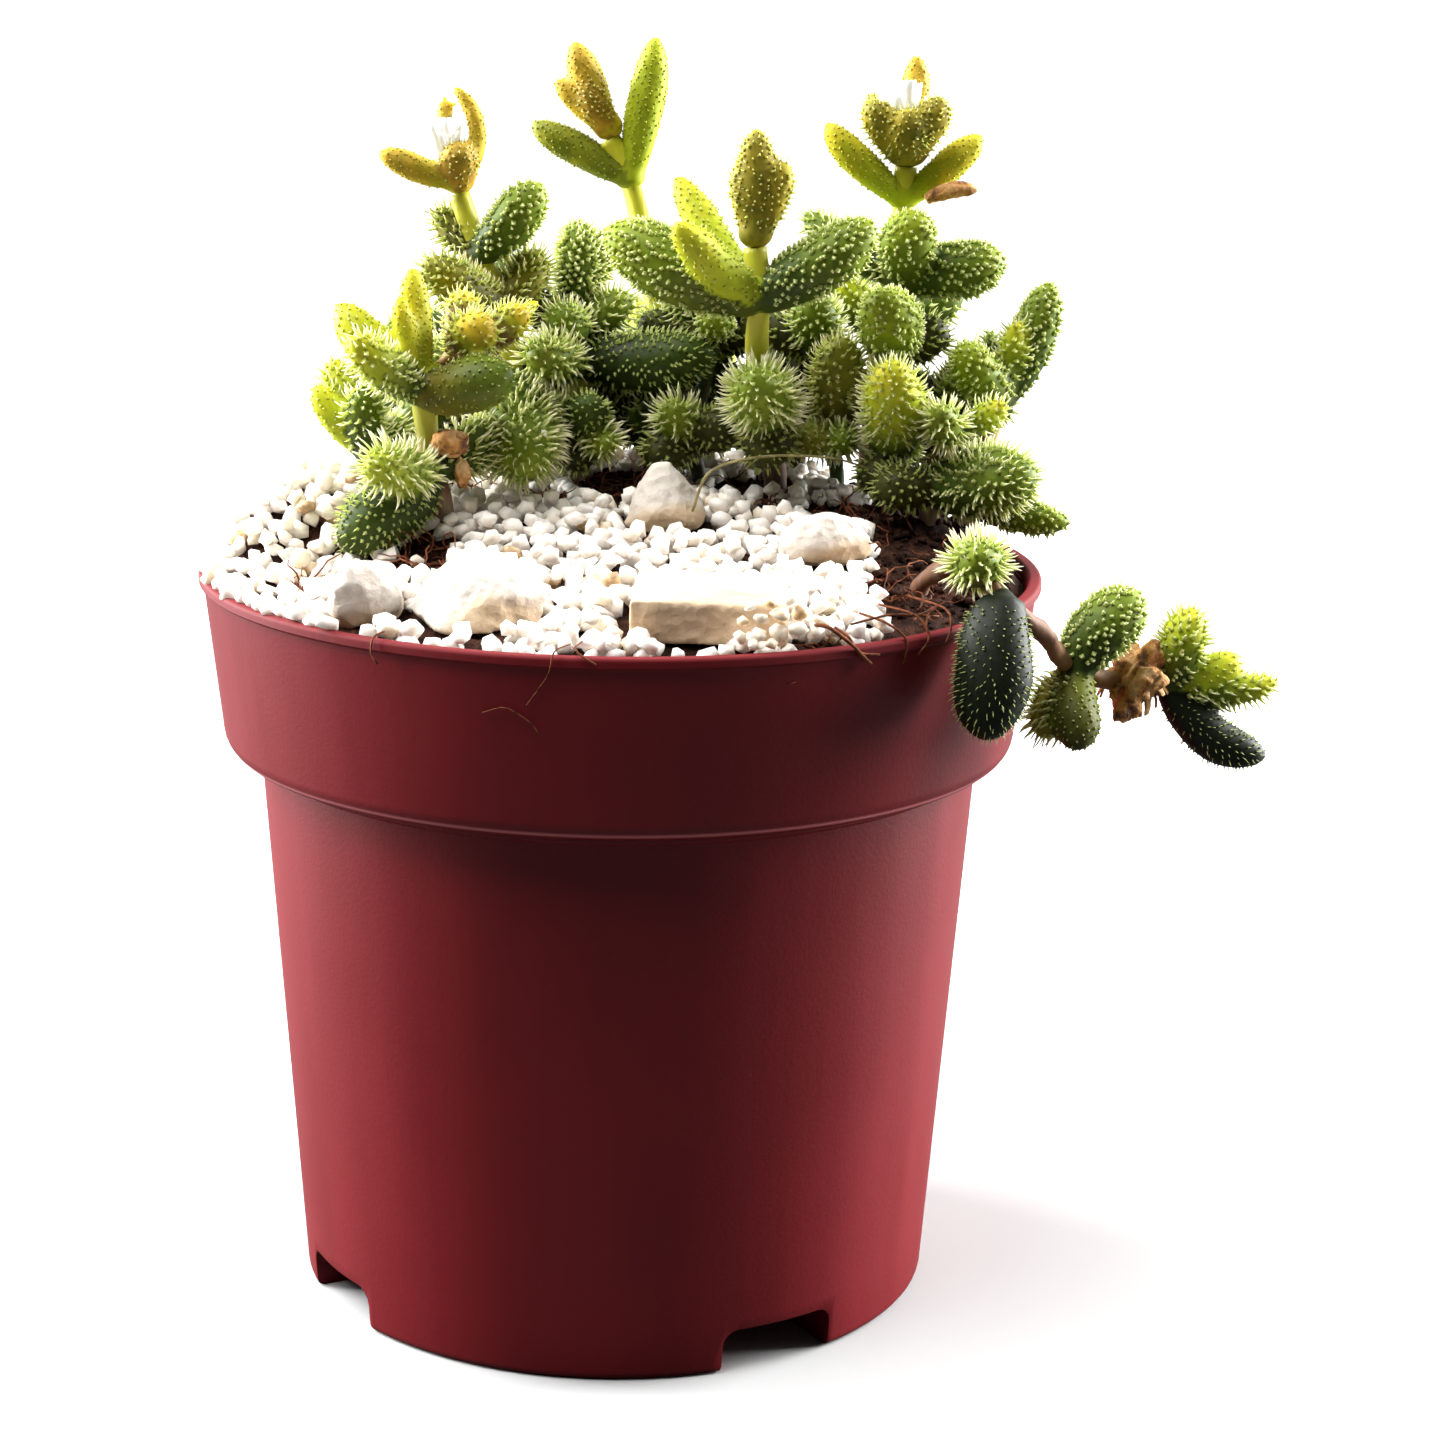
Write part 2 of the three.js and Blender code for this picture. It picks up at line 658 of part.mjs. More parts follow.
// The space that the pot, the grit and the stones take up, with clearance.
const stoneSpaces = STONES.map((stone) => stoneSolid(stone, GAP));
const bedSpaces = [
  turned(
    [
      [0, COLLAR_FOOT_HEIGHT],
      [COLLAR_FOOT_RADIUS + GAP, COLLAR_FOOT_HEIGHT],
      [RIM_RADIUS + GAP, POT_HEIGHT - LIP_HEIGHT],
      [RIM_RADIUS + GAP, POT_HEIGHT + GAP],
      [0, POT_HEIGHT + GAP],
    ],
    POT_SIDES,
  ),
  moundSolid(-GAP, 0),
  ...stoneSpaces,
];
const stemSpaces = SHOOTS.map((shoot) => stemSolid(stemPathOf(shoot), shoot.radius + GAP));
const leafSpaces = [];

// Relieves leaves where they press on the bed, on a stem or on leaves that are there already, and
// notes the space that they take up themselves. The grown shape is the same leaves with clearance.
function settled(shape, grown, stems) {
  const spaces = [...bedSpaces, ...stems, ...leafSpaces];
  const pressing = spaces.filter((space) => !shape.intersect(space).isEmpty());
  const free = cutBy(shape, pressing);
  leafSpaces.push(grown);
  return mainBody(free);
}

// A calyx or a bud of unequal fleshy sepals round a cup, with a tuft of petals where it is open.
function buildFlower(shootName, base, { name, cup, sepals, tuft }, stems) {
  const foot = [base[0], base[1], base[2] + cup[1] * SEPAL_FOOT];
  const [calyx, grown] = [0, GAP].map((grow) =>
    joined([cupSolid(base, cup), ...sepals.map((sepal) => leafSolid(foot, sepal, grow))]),
  );
  const free = settled(calyx, grown, stems);
  if (!tuft) {
    addPiece(`${shootName}_${name}`, free, SEPAL);
    return;
  }
  const lift = cup[1] * TUFT_FOOT;
  addPiece(`${shootName}_${name}`, free.subtract(tuftSolid(base, tuft, lift, GAP)), SEPAL);
  addPiece(`${shootName}_petals`, tuftSolid(base, tuft, lift, 0), PETAL);
}

// A short shoot: stem and leaves are one piece.
function buildShortShoot({ name, radius, path, whorls }, stems) {
  const [leafy, grown] = [0, GAP].map((grow) =>
    joined(Object.entries(whorls).map(([at, leaves]) => whorlSolid(path[at], leaves, radius, grow))),
  );
  const stem = stemSolid(rootedPath(path), radius);
  addPiece(`${name}_shoot`, stem.add(settled(stem.add(leafy), grown, stems)), GREEN_LEAF);
}

function buildShoot(shoot, index) {
  const { name, radius, path, short, fork, whorls, sprig, young, flower } = shoot;
  const otherStems = stemSpaces.filter((_, i) => i !== index);
  if (short) {
    buildShortShoot(shoot, otherStems);
    return;
  }
  addPiece(`${name}_stem`, stemSolid(stemPathOf(shoot), radius), STEM_BARK);
  for (const [place, leaves] of Object.entries(whorls)) {
    const atTip = Number(place) === path.length - 1;
    const [shape, grown] = [0, GAP].map((grow) => {
      const whorl = whorlSolid(path[place], leaves, radius, grow);
      return atTip && sprig ? whorl.add(sprigSolid(fork, sprig, radius, grow)) : whorl;
    });
    const solid = settled(shape, grown, stemSpaces);
    addPiece(`${name}_leaves_${place}`, solid, atTip && young ? LIME_LEAF : GREEN_LEAF);
  }
  if (flower) buildFlower(name, path.at(-1), flower, otherStems);
}

// What has dried up on the plant.
function buildDryPieces() {
  const [dryLeaf, dryLeafSpace] = [0, GAP].map((grow) => leafSolid(DRY_LEAF.node, DRY_LEAF.leaf, grow));
  addPiece("dry_leaf", settled(dryLeaf, dryLeafSpace, stemSpaces), WITHERED);
  const { path, radius, sepals } = WITHERED_FLOWER;
  const middle = path[0].map((value, i) => (value + path[1][i]) / 2);
  const lump = joined([nodeBead(middle, radius), ...sepals.map((sepal) => leafSolid(middle, sepal))]);
  addPiece("withered_flower", settled(lump, lump, stemSpaces), WITHERED);
}

SHOOTS.forEach(buildShoot);
buildDryPieces();

const bed = moundSolid(GRIT_THICKNESS - GAP, 0);

const soil = cutBy(moundSolid(GRIT_THICKNESS, GAP), [...recessBlocks(WALL + GAP), ...stemSpaces]);
const grit = cutBy(moundSolid(0, GAP), [bed, ...stoneSpaces, ...stemSpaces]);

addPiece("pot", makePot(), RED_PLASTIC);
addPiece("soil", soil, SOIL);
addPiece("grit", grit, GRIT);
for (const stone of STONES) {
  addPiece(stone.name, stoneSolid(stone, 0).subtract(bed), STONE);
}

export default group;
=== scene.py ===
"""A potted pickle plant: a nursery pot, soil, grit and stones, and a bristly succulent growing in it.

Blender's own values are in metres. Tables and outlines of the plant and the ground are in millimetres.
"""

import math
from collections import namedtuple

import bmesh
import bpy
import numpy as np
from mathutils import Matrix, Vector, noise
from mathutils.bvhtree import BVHTree
from mathutils.kdtree import KDTree


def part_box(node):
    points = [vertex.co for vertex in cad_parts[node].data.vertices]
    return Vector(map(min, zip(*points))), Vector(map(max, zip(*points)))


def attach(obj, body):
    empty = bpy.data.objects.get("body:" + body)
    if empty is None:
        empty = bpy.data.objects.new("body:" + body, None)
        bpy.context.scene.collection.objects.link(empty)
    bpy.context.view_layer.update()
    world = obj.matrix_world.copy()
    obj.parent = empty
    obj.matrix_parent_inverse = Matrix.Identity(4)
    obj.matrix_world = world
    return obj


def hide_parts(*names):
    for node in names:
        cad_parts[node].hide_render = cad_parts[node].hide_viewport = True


MM = 0.001
FULL_TURN = 2 * math.pi

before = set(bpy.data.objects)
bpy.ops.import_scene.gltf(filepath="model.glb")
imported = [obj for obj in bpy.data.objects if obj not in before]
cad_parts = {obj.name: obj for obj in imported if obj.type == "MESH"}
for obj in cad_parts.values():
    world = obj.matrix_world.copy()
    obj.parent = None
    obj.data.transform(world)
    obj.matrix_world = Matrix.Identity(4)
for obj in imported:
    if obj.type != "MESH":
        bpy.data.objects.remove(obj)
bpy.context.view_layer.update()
bpy.ops.object.select_all(action="DESELECT")

rng = np.random.default_rng(11)


# Shader maths


class Value:
    """A shader socket that can be used in sums."""

    def __init__(self, shading, socket):
        self.shading = shading
        self.socket = socket

    def maths(self, operation, *values):
        return self.shading.node("ShaderNodeMath", {"operation": operation}, *values)

    def __add__(self, other):
        return self.maths("ADD", self, other)

    def __radd__(self, other):
        return self.maths("ADD", other, self)

    def __sub__(self, other):
        return self.maths("SUBTRACT", self, other)

    def __rsub__(self, other):
        return self.maths("SUBTRACT", other, self)

    def __mul__(self, other):
        return self.maths("MULTIPLY", self, other)

    def __rmul__(self, other):
        return self.maths("MULTIPLY", other, self)

    def __truediv__(self, other):
        return self.maths("DIVIDE", self, other)

    def __abs__(self):
        return self.maths("ABSOLUTE", self)

    def clamped(self):
        return self.shading.node("ShaderNodeClamp", {}, self)

    def between(self, low, high, start=0.0, end=1.0):
        """start below low, end above high, and smooth in between."""
        settings = {"interpolation_type": "SMOOTHSTEP"}
        return self.shading.node("ShaderNodeMapRange", settings, self, low, high, start, end)


class Shading:
    """The nodes of a world or a material."""

    def __init__(self, owner):
        owner.use_nodes = True
        self.tree = owner.node_tree

    def feed(self, node, sockets):
        """Sets or links sockets, which are given by name or by number."""
        for key, value in sockets.items():
            socket = node.inputs[key.replace("_", " ") if isinstance(key, str) else key]
            if isinstance(value, Value):
                self.tree.links.new(value.socket, socket)
            elif socket.type == "RGBA":
                socket.default_value = (*value, 1)
            else:
                socket.default_value = value

    def node(self, kind, settings, *values, output=0, **sockets):
        """Adds a node: its settings, its first sockets in order, and others by name."""
        made = self.tree.nodes.new(kind)
        for name, value in settings.items():
            if name == "stops":
                self.set_stops(made.color_ramp, value)
            else:
                setattr(made, name, value)
        self.feed(made, {**dict(enumerate(values)), **sockets})
        return Value(self, made.outputs[output])

    @staticmethod
    def set_stops(ramp, stops):
        while len(ramp.elements) > 1:
            ramp.elements.remove(ramp.elements[0])
        for index, (place, colour) in enumerate(stops):
            element = ramp.elements[0] if index == 0 else ramp.elements.new(place)
            element.position = place
            element.color = (*colour, 1)

    def place(self, kind="Object"):
        return self.node("ShaderNodeTexCoord", {}, output=kind)

    def seen(self):
        """1 for what the camera sees and 0 for the light that is thrown on other things."""
        return self.node("ShaderNodeLightPath", {}, output="Is Camera Ray")

    def mixed(self, share, first, second):
        """A colour: first where the share is 0 and second where it is 1."""
        made = self.node("ShaderNodeMix", {"data_type": "RGBA"}, share, output=2)
        self.feed(made.socket.node, {6: first, 7: second})
        return made


class Finish(Shading):
    """A procedural material of one Principled shader."""

    def __init__(self, name, **sockets):
        self.material = bpy.data.materials.new(name)
        super().__init__(self.material)
        self.shader = self.tree.nodes["Principled BSDF"]
        self.feed(self.shader, sockets)

    def attribute(self, name):
        return self.node("ShaderNodeAttribute", {"attribute_name": name}, output="Fac")

    def noise(self, scale, detail=3.0, roughness=0.5, stretch=None):
        where = self.place()
        if stretch:
            where = self.node("ShaderNodeMapping", {}, where, Scale=stretch)
        sockets = {"Scale": scale, "Detail": detail, "Roughness": roughness}
        return self.node("ShaderNodeTexNoise", {}, Vector=where, **sockets)

    def cells(self, scale):
        return self.node("ShaderNodeTexVoronoi", {}, Vector=self.place(), Scale=scale, output="Distance")

    def ramp(self, value, *stops):
        return self.node("ShaderNodeValToRGB", {"stops": stops}, value)

    def bump(self, height, depth, strength=1.0):
        bumped = self.node("ShaderNodeBump", {}, Strength=strength, Distance=depth, Height=height)
        self.feed(self.shader, {"Normal": bumped})

    def paint(self, **sockets):
        self.feed(self.shader, sockets)
        return self.material


# Camera, light and floor

CAMERA_PLACE = Vector((0, -323.204, 140.758)) * MM
CAMERA_AHEAD = Vector((0.03075254, 0.96855914, -0.24687541))
CAMERA_UP = Vector((-0.01001494, 0.24727842, 0.96889271))
CAMERA_LENS = 81.07
SENSOR_WIDTH = 36
PLANT_MIDDLE = Vector((0, 0, 0.06))
SOFTBOX_SIZE = (0.4, 0.7)
SUN_AIM = Vector((0.40, 0.19, -1))
SUN_STRENGTH = 4.2
SUN_SPREAD = math.radians(40)
# The room's glow and the paper's shade: from, to, and the value at each end. The first goes by the
# direction's Y and the second by the distance from the pot in metres.
ROOM_GLOW = (-0.5, 0.3, 0.04, 0.95)
# Painted shade: as the camera sees it, the paper is darker near the pot and paler further off.
PAPER_SHADE = (0.2, 0.7, 0.42, 0.64)
PAPER_THROW = (0.06, 0.06, 0.06)
PAPER_SIZE = 60


def add_object(name, data, matrix=Matrix.Identity(4)):
    made = bpy.data.objects.new(name, data)
    made.matrix_world = matrix
    bpy.context.collection.objects.link(made)
    return made


def set_camera():
    camera = bpy.data.cameras.new("camera")
    camera.lens = CAMERA_LENS
    camera.sensor_width = SENSOR_WIDTH
    camera.clip_start = 0.01
    camera.clip_end = 20
    right = CAMERA_AHEAD.cross(CAMERA_UP)
    turn = Matrix((right, CAMERA_UP, -CAMERA_AHEAD)).transposed().to_4x4()
    bpy.context.scene.camera = add_object("camera", camera, Matrix.Translation(CAMERA_PLACE) @ turn)


def aimed(place, way):
    """The matrix of a lamp at a place that shines along a direction."""
    return Matrix.Translation(place) @ way.to_track_quat("-Z", "Y").to_matrix().to_4x4()


def softbox(name, place, power):
    """A rectangular lamp that points at the middle of the plant."""
    light = bpy.data.lights.new(name, "AREA")
    light.shape = "RECTANGLE"
    light.size, light.size_y = SOFTBOX_SIZE
    light.energy = power
    add_object(name, light, aimed(place, PLANT_MIDDLE - Vector(place)))


def set_world():
    """A white room that is dim on the side that faces the front of the pot."""
    world = bpy.data.worlds.new("studio")
    room = Shading(world)
    depth = room.node("ShaderNodeSeparateXYZ", {}, room.place("Generated"), output="Y")
    strength = room.node("ShaderNodeMix", {}, room.seen(), A=depth.between(*ROOM_GLOW), B=1.0)
    room.feed(room.tree.nodes["Background"], {"Color": (1, 1, 1), "Strength": strength})
    bpy.context.scene.world = world


def set_light():
    set_world()
    softbox("left_softbox", (-0.6, 0.24, 0.2), 26)
    softbox("right_softbox", (0.6, 0.22, 0.16), 27)
    overhead = bpy.data.lights.new("overhead", "SUN")
    overhead.energy = SUN_STRENGTH
    overhead.angle = SUN_SPREAD
    add_object("overhead", overhead, aimed((0, 0, 0), SUN_AIM))
    bpy.context.scene.view_settings.view_transform = "Standard"


def make_floor():
    """White paper, painted darker near the pot as painted shade. It throws less light back on the object than
    the camera sees on it.
    """
    bpy.ops.mesh.primitive_plane_add(size=PAPER_SIZE)
    floor = bpy.context.object
    floor.name = "floor"
    paper = Finish("pale_floor", Roughness=0.8, Specular_IOR_Level=0.1)
    away = paper.node("ShaderNodeVectorMath", {"operation": "LENGTH"}, paper.place(), output="Value")
    # Painted shade: the paper is darker near the pot.
    white = paper.mixed(paper.seen(), PAPER_THROW, away.between(*PAPER_SHADE))
    floor.data.materials.append(paper.paint(Base_Color=white))


# Finishes


def pot_finish():
    """Glossy red plastic with worn streaks, painted shade on the lip and a painted highlight line over the
    step.
    """
    finish = Finish("red_nursery_plastic", IOR=1.45, Specular_IOR_Level=0.32)
    cloudy = finish.noise(28, 4)
    streaks = finish.noise(160, 4, 0.6, stretch=(1, 1, 0.06))
    scuffs = finish.noise(500, 5, 0.75).between(0.66, 0.8)
    grain = finish.noise(2400, 2)
    height = finish.node("ShaderNodeSeparateXYZ", {}, finish.place(), output="Z")
    # Painted highlight: a pale pink line is painted round the pot just above the step.
    line = (1 - abs(height - RUBBED_LINE_HEIGHT) / RUBBED_LINE_REACH).clamped()
    lip = height.between(POT_HEIGHT - 1.0 * MM, POT_HEIGHT - 0.7 * MM)
    colour = finish.ramp(
        cloudy * 0.6 + streaks * 0.4,
        (0.3, (0.120, 0.0035, 0.006)),
        (0.7, (0.175, 0.0055, 0.010)),
    )
    worn = finish.mixed(scuffs * 0.3, colour, (0.30, 0.05, 0.06))
    # Painted shade: the lip is painted a flat dark red that holds down the pale reflection on its top.
    bright = finish.mixed(lip * 0.8, worn, (0.14, 0.003, 0.006))
    rubbed = finish.mixed(line, bright, (0.62, 0.17, 0.18))
    finish.bump(grain * 0.5 + cloudy * 0.3 + streaks * 0.5, 0.00008, 0.4)
    rough = 0.30 + 0.12 * cloudy + 0.14 * streaks + 0.15 * scuffs + 0.3 * lip
    return finish.paint(Base_Color=rubbed, Roughness=rough)


def leaf_finish(name, gloss=0.42, clear=0.18):
    """Skin from dark green to yellow, pale beads, and white bristles, by the piece's attributes."""
    finish = Finish(
        name,
        Subsurface_Weight=clear,
        Subsurface_Radius=(0.0016, 0.0020, 0.0006),
        Subsurface_Scale=1.0,
        IOR=1.42,
        Specular_IOR_Level=0.22,
    )
    ripe = finish.attribute("ripeness")
    dry = finish.attribute("dryness")
    rise = finish.attribute("bristle")
    mottle = finish.noise(420, 4, 0.6)
    fine = finish.noise(2600, 2)
    skin = finish.ramp(
        (ripe + 0.22 * (mottle - 0.5) + 0.08 * (fine - 0.5)).clamped(),
        (0.0, (0.007, 0.011, 0.004)),
        (0.28, (0.045, 0.074, 0.007)),
        (0.52, (0.150, 0.210, 0.012)),
        (0.76, (0.430, 0.490, 0.018)),
        (1.0, (0.740, 0.560, 0.035)),
    )
    withered = finish.ramp(
        mottle,
        (0.25, (0.12, 0.055, 0.014)),
        (0.5, (0.36, 0.190, 0.028)),
        (0.8, (0.66, 0.380, 0.050)),
    )
    body = finish.mixed(dry, skin, withered)
    bead = finish.mixed(0.60, body, (0.49, 0.57, 0.17))
    studded = finish.mixed(rise.between(0.06, 0.28), body, bead)
    tip = rise.between(0.45, 0.95)
    cream = finish.mixed(tip, (0.42, 0.46, 0.13), (0.80, 0.78, 0.47))
    tan = finish.mixed(tip, (0.28, 0.16, 0.06), (0.62, 0.50, 0.28))
    bristle = finish.mixed((dry * 1.6).clamped(), cream, tan)
    colour = finish.mixed(rise.between(0.42, 0.62), studded, bristle)
    finish.bump(mottle * 0.6 + fine * 0.4, 0.00012, 0.5)
    return finish.paint(Base_Color=colour, Roughness=gloss + 0.2 * mottle)


def stem_finish():
    """Yellow-green near the leaves, papery brown near the soil."""
    finish = Finish("stem_skin", Subsurface_Weight=0.12, Subsurface_Radius=(0.001, 0.001, 0.0005))
    age = finish.attribute("age")
    streaks = finish.noise(700, 4, 0.6, stretch=(1, 1, 0.15))
    colour = finish.ramp(
        (age + 0.35 * (streaks - 0.5)).clamped(),
        (0.0, (0.62, 0.60, 0.03)),
        (0.4, (0.40, 0.38, 0.04)),
        (0.6, (0.30, 0.15, 0.04)),
        (0.8, (0.14, 0.055, 0.025)),
        (1.0, (0.33, 0.25, 0.16)),
    )
    finish.bump(streaks, 0.0002, 0.6)
    return finish.paint(Base_Color=colour, Roughness=0.45 + 0.3 * age)


def petal_finish():
    """White with faint veins. The emission stands for the light that comes through the petals."""
    finish = Finish("petal_white", Emission_Color=(1, 0.98, 0.93), Emission_Strength=0.35)
    veins = finish.noise(1500, 3, stretch=(1, 1, 0.1))
    colour = finish.ramp(veins, (0.3, (0.90, 0.90, 0.82)), (0.6, (0.97, 0.97, 0.95)))
    finish.bump(veins, 0.00008, 0.4)
    return finish.paint(Base_Color=colour, Roughness=0.35 + 0.2 * veins)


def dry_finish():
    """Crumpled dead skin, from nearly black to straw."""
    finish = Finish("dry_plant_skin")
    patches = finish.noise(500, 5, 0.65)
    creases = finish.noise(2200, 3, 0.7)
    colour = finish.ramp(
        patches,
        (0.30, (0.024, 0.012, 0.008)),
        (0.40, (0.24, 0.090, 0.025)),
        (0.50, (0.60, 0.28, 0.07)),
        (0.66, (0.82, 0.55, 0.28)),
    )
    finish.bump(creases + patches, 0.0003, 0.8)
    return finish.paint(Base_Color=colour, Roughness=0.6 + 0.3 * creases)


def soil_finish():
    """Dark coir with paler threads."""
    finish = Finish("coir_soil", Specular_IOR_Level=0.08)
    lumps = finish.noise(260, 6, 0.7)
    threads = finish.noise(1500, 4, 0.7, stretch=(1, 0.3, 1))
    colour = finish.ramp(
        lumps * 0.5 + threads * 0.5,
        (0.32, (0.006, 0.003, 0.002)),
        (0.5, (0.026, 0.010, 0.006)),
        (0.62, (0.075, 0.028, 0.016)),
        (0.8, (0.18, 0.075, 0.035)),
    )
    finish.bump(lumps + threads, 0.0008, 1.0)
    return finish.paint(Base_Color=colour, Roughness=0.75 + 0.25 * lumps)


def grit_finish():
    """Milky quartz granules, each with its own tint."""
    finish = Finish(
        "milky_grit",
        Subsurface_Weight=0.35,
        Subsurface_Radius=(0.0024, 0.0022, 0.0020),
        Subsurface_Scale=1.0,
        IOR=1.5,
    )
    tint = finish.attribute("tint")
    clouds = finish.noise(900, 4, 0.6)
    colour = finish.ramp(
        (tint + 0.15 * (clouds - 0.5)).clamped(),
        (0.0, (0.98, 0.90, 0.82)),
        (0.80, (0.95, 0.85, 0.74)),
        (0.95, (0.76, 0.65, 0.50)),
        (0.985, (0.60, 0.42, 0.22)),
        (1.0, (0.36, 0.24, 0.13)),
    )
    finish.bump(clouds, 0.00015, 0.5)
    return finish.paint(Base_Color=colour, Roughness=0.32 + 0.25 * clouds)


def stone_finish():
    """Pale grey stone that turns tan on the side that the piece's attribute marks."""
    finish = Finish("pale_stone_face", Subsurface_Weight=0.08, Subsurface_Radius=(0.001, 0.001, 0.001))
    stain = finish.attribute("stain")
    clouds = finish.noise(180, 6, 0.65)
    pits = finish.cells(900)
    colour = finish.ramp(
        clouds,
        (0.3, (0.46, 0.39, 0.33)),
        (0.45, (0.62, 0.56, 0.49)),
        (0.7, (0.74, 0.69, 0.63)),
    )
    tan = finish.ramp(clouds, (0.35, (0.42, 0.29, 0.17)), (0.65, (0.66, 0.50, 0.33)))
    stained = finish.mixed((stain + 0.6 * (clouds - 0.5)).between(0.62, 1.0), colour, tan)
    finish.bump(clouds + 0.4 * pits, 0.0007, 0.7)
    return finish.paint(Base_Color=stained, Roughness=0.6 + 0.3 * clouds)


def thread_finish(name, shine, scale, dark, light, gloss_change):
    """Streaky dry matter, as straw or coir."""
    finish = Finish(name, Specular_IOR_Level=shine)
    streaks = finish.noise(scale, 3)
    colour = finish.ramp(streaks, (0.3, dark), (0.7, light))
    return finish.paint(Base_Color=colour, Roughness=0.5 + gloss_change * streaks)


def straw_finish():
    return thread_finish("dry_straw", 0.2, 900, (0.12, 0.10, 0.03), (0.42, 0.36, 0.16), 0.2)


def fibre_finish():
    return thread_finish("coir_fibre", 0.1, 1800, (0.045, 0.014, 0.008), (0.24, 0.075, 0.03), 0.3)


# Mesh helpers


def set_attribute(mesh, name, values):
    layer = mesh.attributes.new(name, "FLOAT", "POINT")
    layer.data.foreach_set("value", np.asarray(values, dtype=np.float32))


def set_smooth(mesh):
    mesh.polygons.foreach_set("use_smooth", [True] * len(mesh.polygons))


def mesh_object(name, verts, faces):
    """An object from vertices in mm and faces."""
    mesh = bpy.data.meshes.new(name)
    mesh.from_pydata([tuple(v) for v in verts * MM], [], faces)
    return add_object(name, mesh)


def new_piece(name, verts, faces, material, **attributes):
    """A smooth piece from vertices in mm and faces, with a float attribute per vertex for each name."""
    piece = mesh_object(name, verts, faces)
    piece.data.validate()
    for key, values in attributes.items():
        set_attribute(piece.data, key, values)
    set_smooth(piece.data)
    piece.data.materials.append(material)
    return piece


def taken(obj):
    """The object's vertices as an array and its faces as lists of indices. It removes the object."""
    verts = np.empty(len(obj.data.vertices) * 3)
    obj.data.vertices.foreach_get("co", verts)
    faces = [tuple(p.vertices) for p in obj.data.polygons]
    bpy.data.objects.remove(obj)
    return verts.reshape(-1, 3), faces


def only(obj):
    bpy.ops.object.select_all(action="DESELECT")
    obj.select_set(True)
    bpy.context.view_layer.objects.active = obj


def apply_modifier(obj, name, kind, **settings):
    modifier = obj.modifiers.new(name, kind)
    for key, value in settings.items():
        setattr(modifier, key, value)
    only(obj)
    bpy.ops.object.modifier_apply(modifier=name)


def turn_outwards(obj, merge=False):
    """Makes all faces point outwards, after its doubles are merged if that is asked for."""
    only(obj)
    bpy.ops.object.mode_set(mode="EDIT")
    bpy.ops.mesh.select_all(action="SELECT")
    if merge:
        bpy.ops.mesh.remove_doubles(threshold=1e-6)
    bpy.ops.mesh.normals_make_consistent(inside=False)
    bpy.ops.object.mode_set(mode="OBJECT")


def stacked(parts):
    """Joins (verts, faces) pairs into one pair."""
    verts, faces, start = [], [], 0
    for part_verts, part_faces in parts:
        verts.append(np.asarray(part_verts))
        faces.extend(tuple(i + start for i in face) for face in part_faces)
        start += len(part_verts)
    return np.concatenate(verts), faces


def turned(name, points, steps, material):
    """A closed shape turned about Z from (radius, height) points that start and end on the axis."""
    mesh = bpy.data.meshes.new(name)
    mesh.from_pydata([(r, 0, z) for r, z in points], [(i, i + 1) for i in range(len(points) - 1)], [])
    piece = add_object(name, mesh)
    only(piece)
    bpy.ops.object.mode_set(mode="EDIT")
    bpy.ops.mesh.select_all(action="SELECT")
    bpy.ops.mesh.spin(steps=steps, angle=FULL_TURN, center=(0, 0, 0), axis=(0, 0, 1))
    bpy.ops.object.mode_set(mode="OBJECT")
    turn_outwards(piece, merge=True)
    mesh.materials.append(material)
    return piece


def rounded(corners, steps=6):
    """Profile points from (radius, height, corner radius) rows, with an arc where a corner has one."""
    result = []
    for i, (r, z, arc) in enumerate(corners):
        if not arc:
            result.append((r, z))
            continue
        here = Vector((r, z))
        before = (Vector(corners[i - 1][:2]) - here).normalized()
        after = (Vector(corners[i + 1][:2]) - here).normalized()
        half = before.angle(after) / 2
        reach = arc / math.tan(half)
        centre = here + (before + after).normalized() * (arc / math.sin(half))
        start = here + before * reach - centre
        end = here + after * reach - centre
        for k in range(steps + 1):
            result.append(tuple(centre + start.lerp(end, k / steps).normalized() * arc))
    return result


# Pot

RIM_RADIUS = 42.5 * MM
POT_HEIGHT = 74.7 * MM
COLLAR_FOOT_RADIUS = 40.1 * MM
COLLAR_FOOT_HEIGHT = 56.4 * MM
BODY_TOP_RADIUS = 36.6 * MM
BASE_RADIUS = 32.5 * MM
WALL = 1.3 * MM
LIP_HEIGHT = 1.2 * MM
LIP_PROUD = 0.5 * MM
STEP_LINE_PROUD = 0.35 * MM
# Painted highlight: the height of the pale pink line painted over the step, and how far it reaches up and
# down.
RUBBED_LINE_HEIGHT = COLLAR_FOOT_HEIGHT + 1.0 * MM
RUBBED_LINE_REACH = 0.3 * MM
FLOOR_THICKNESS = 1.8 * MM
RECESS_ANGLES = (-60, 30, 120, 210)
RECESS_WIDTH = 12.4 * MM
RECESS_HEIGHT = 4.5 * MM
RECESS_INNER_RADIUS = 20.5 * MM
RECESS_CORNER = 1.6 * MM
DRAIN_HOLE_RADIUS = 2.6 * MM
DRAIN_HOLE_PLACE = 26 * MM
CUT_BELOW = 2 * MM
LID_FOOT = 0.4 * MM
LID_TOP = 8 * MM
POT_STEPS = 128
WALL_RINGS = (0.1, 0.14, 0.2, 0.35, 0.5, 0.65, 0.8, 0.92)


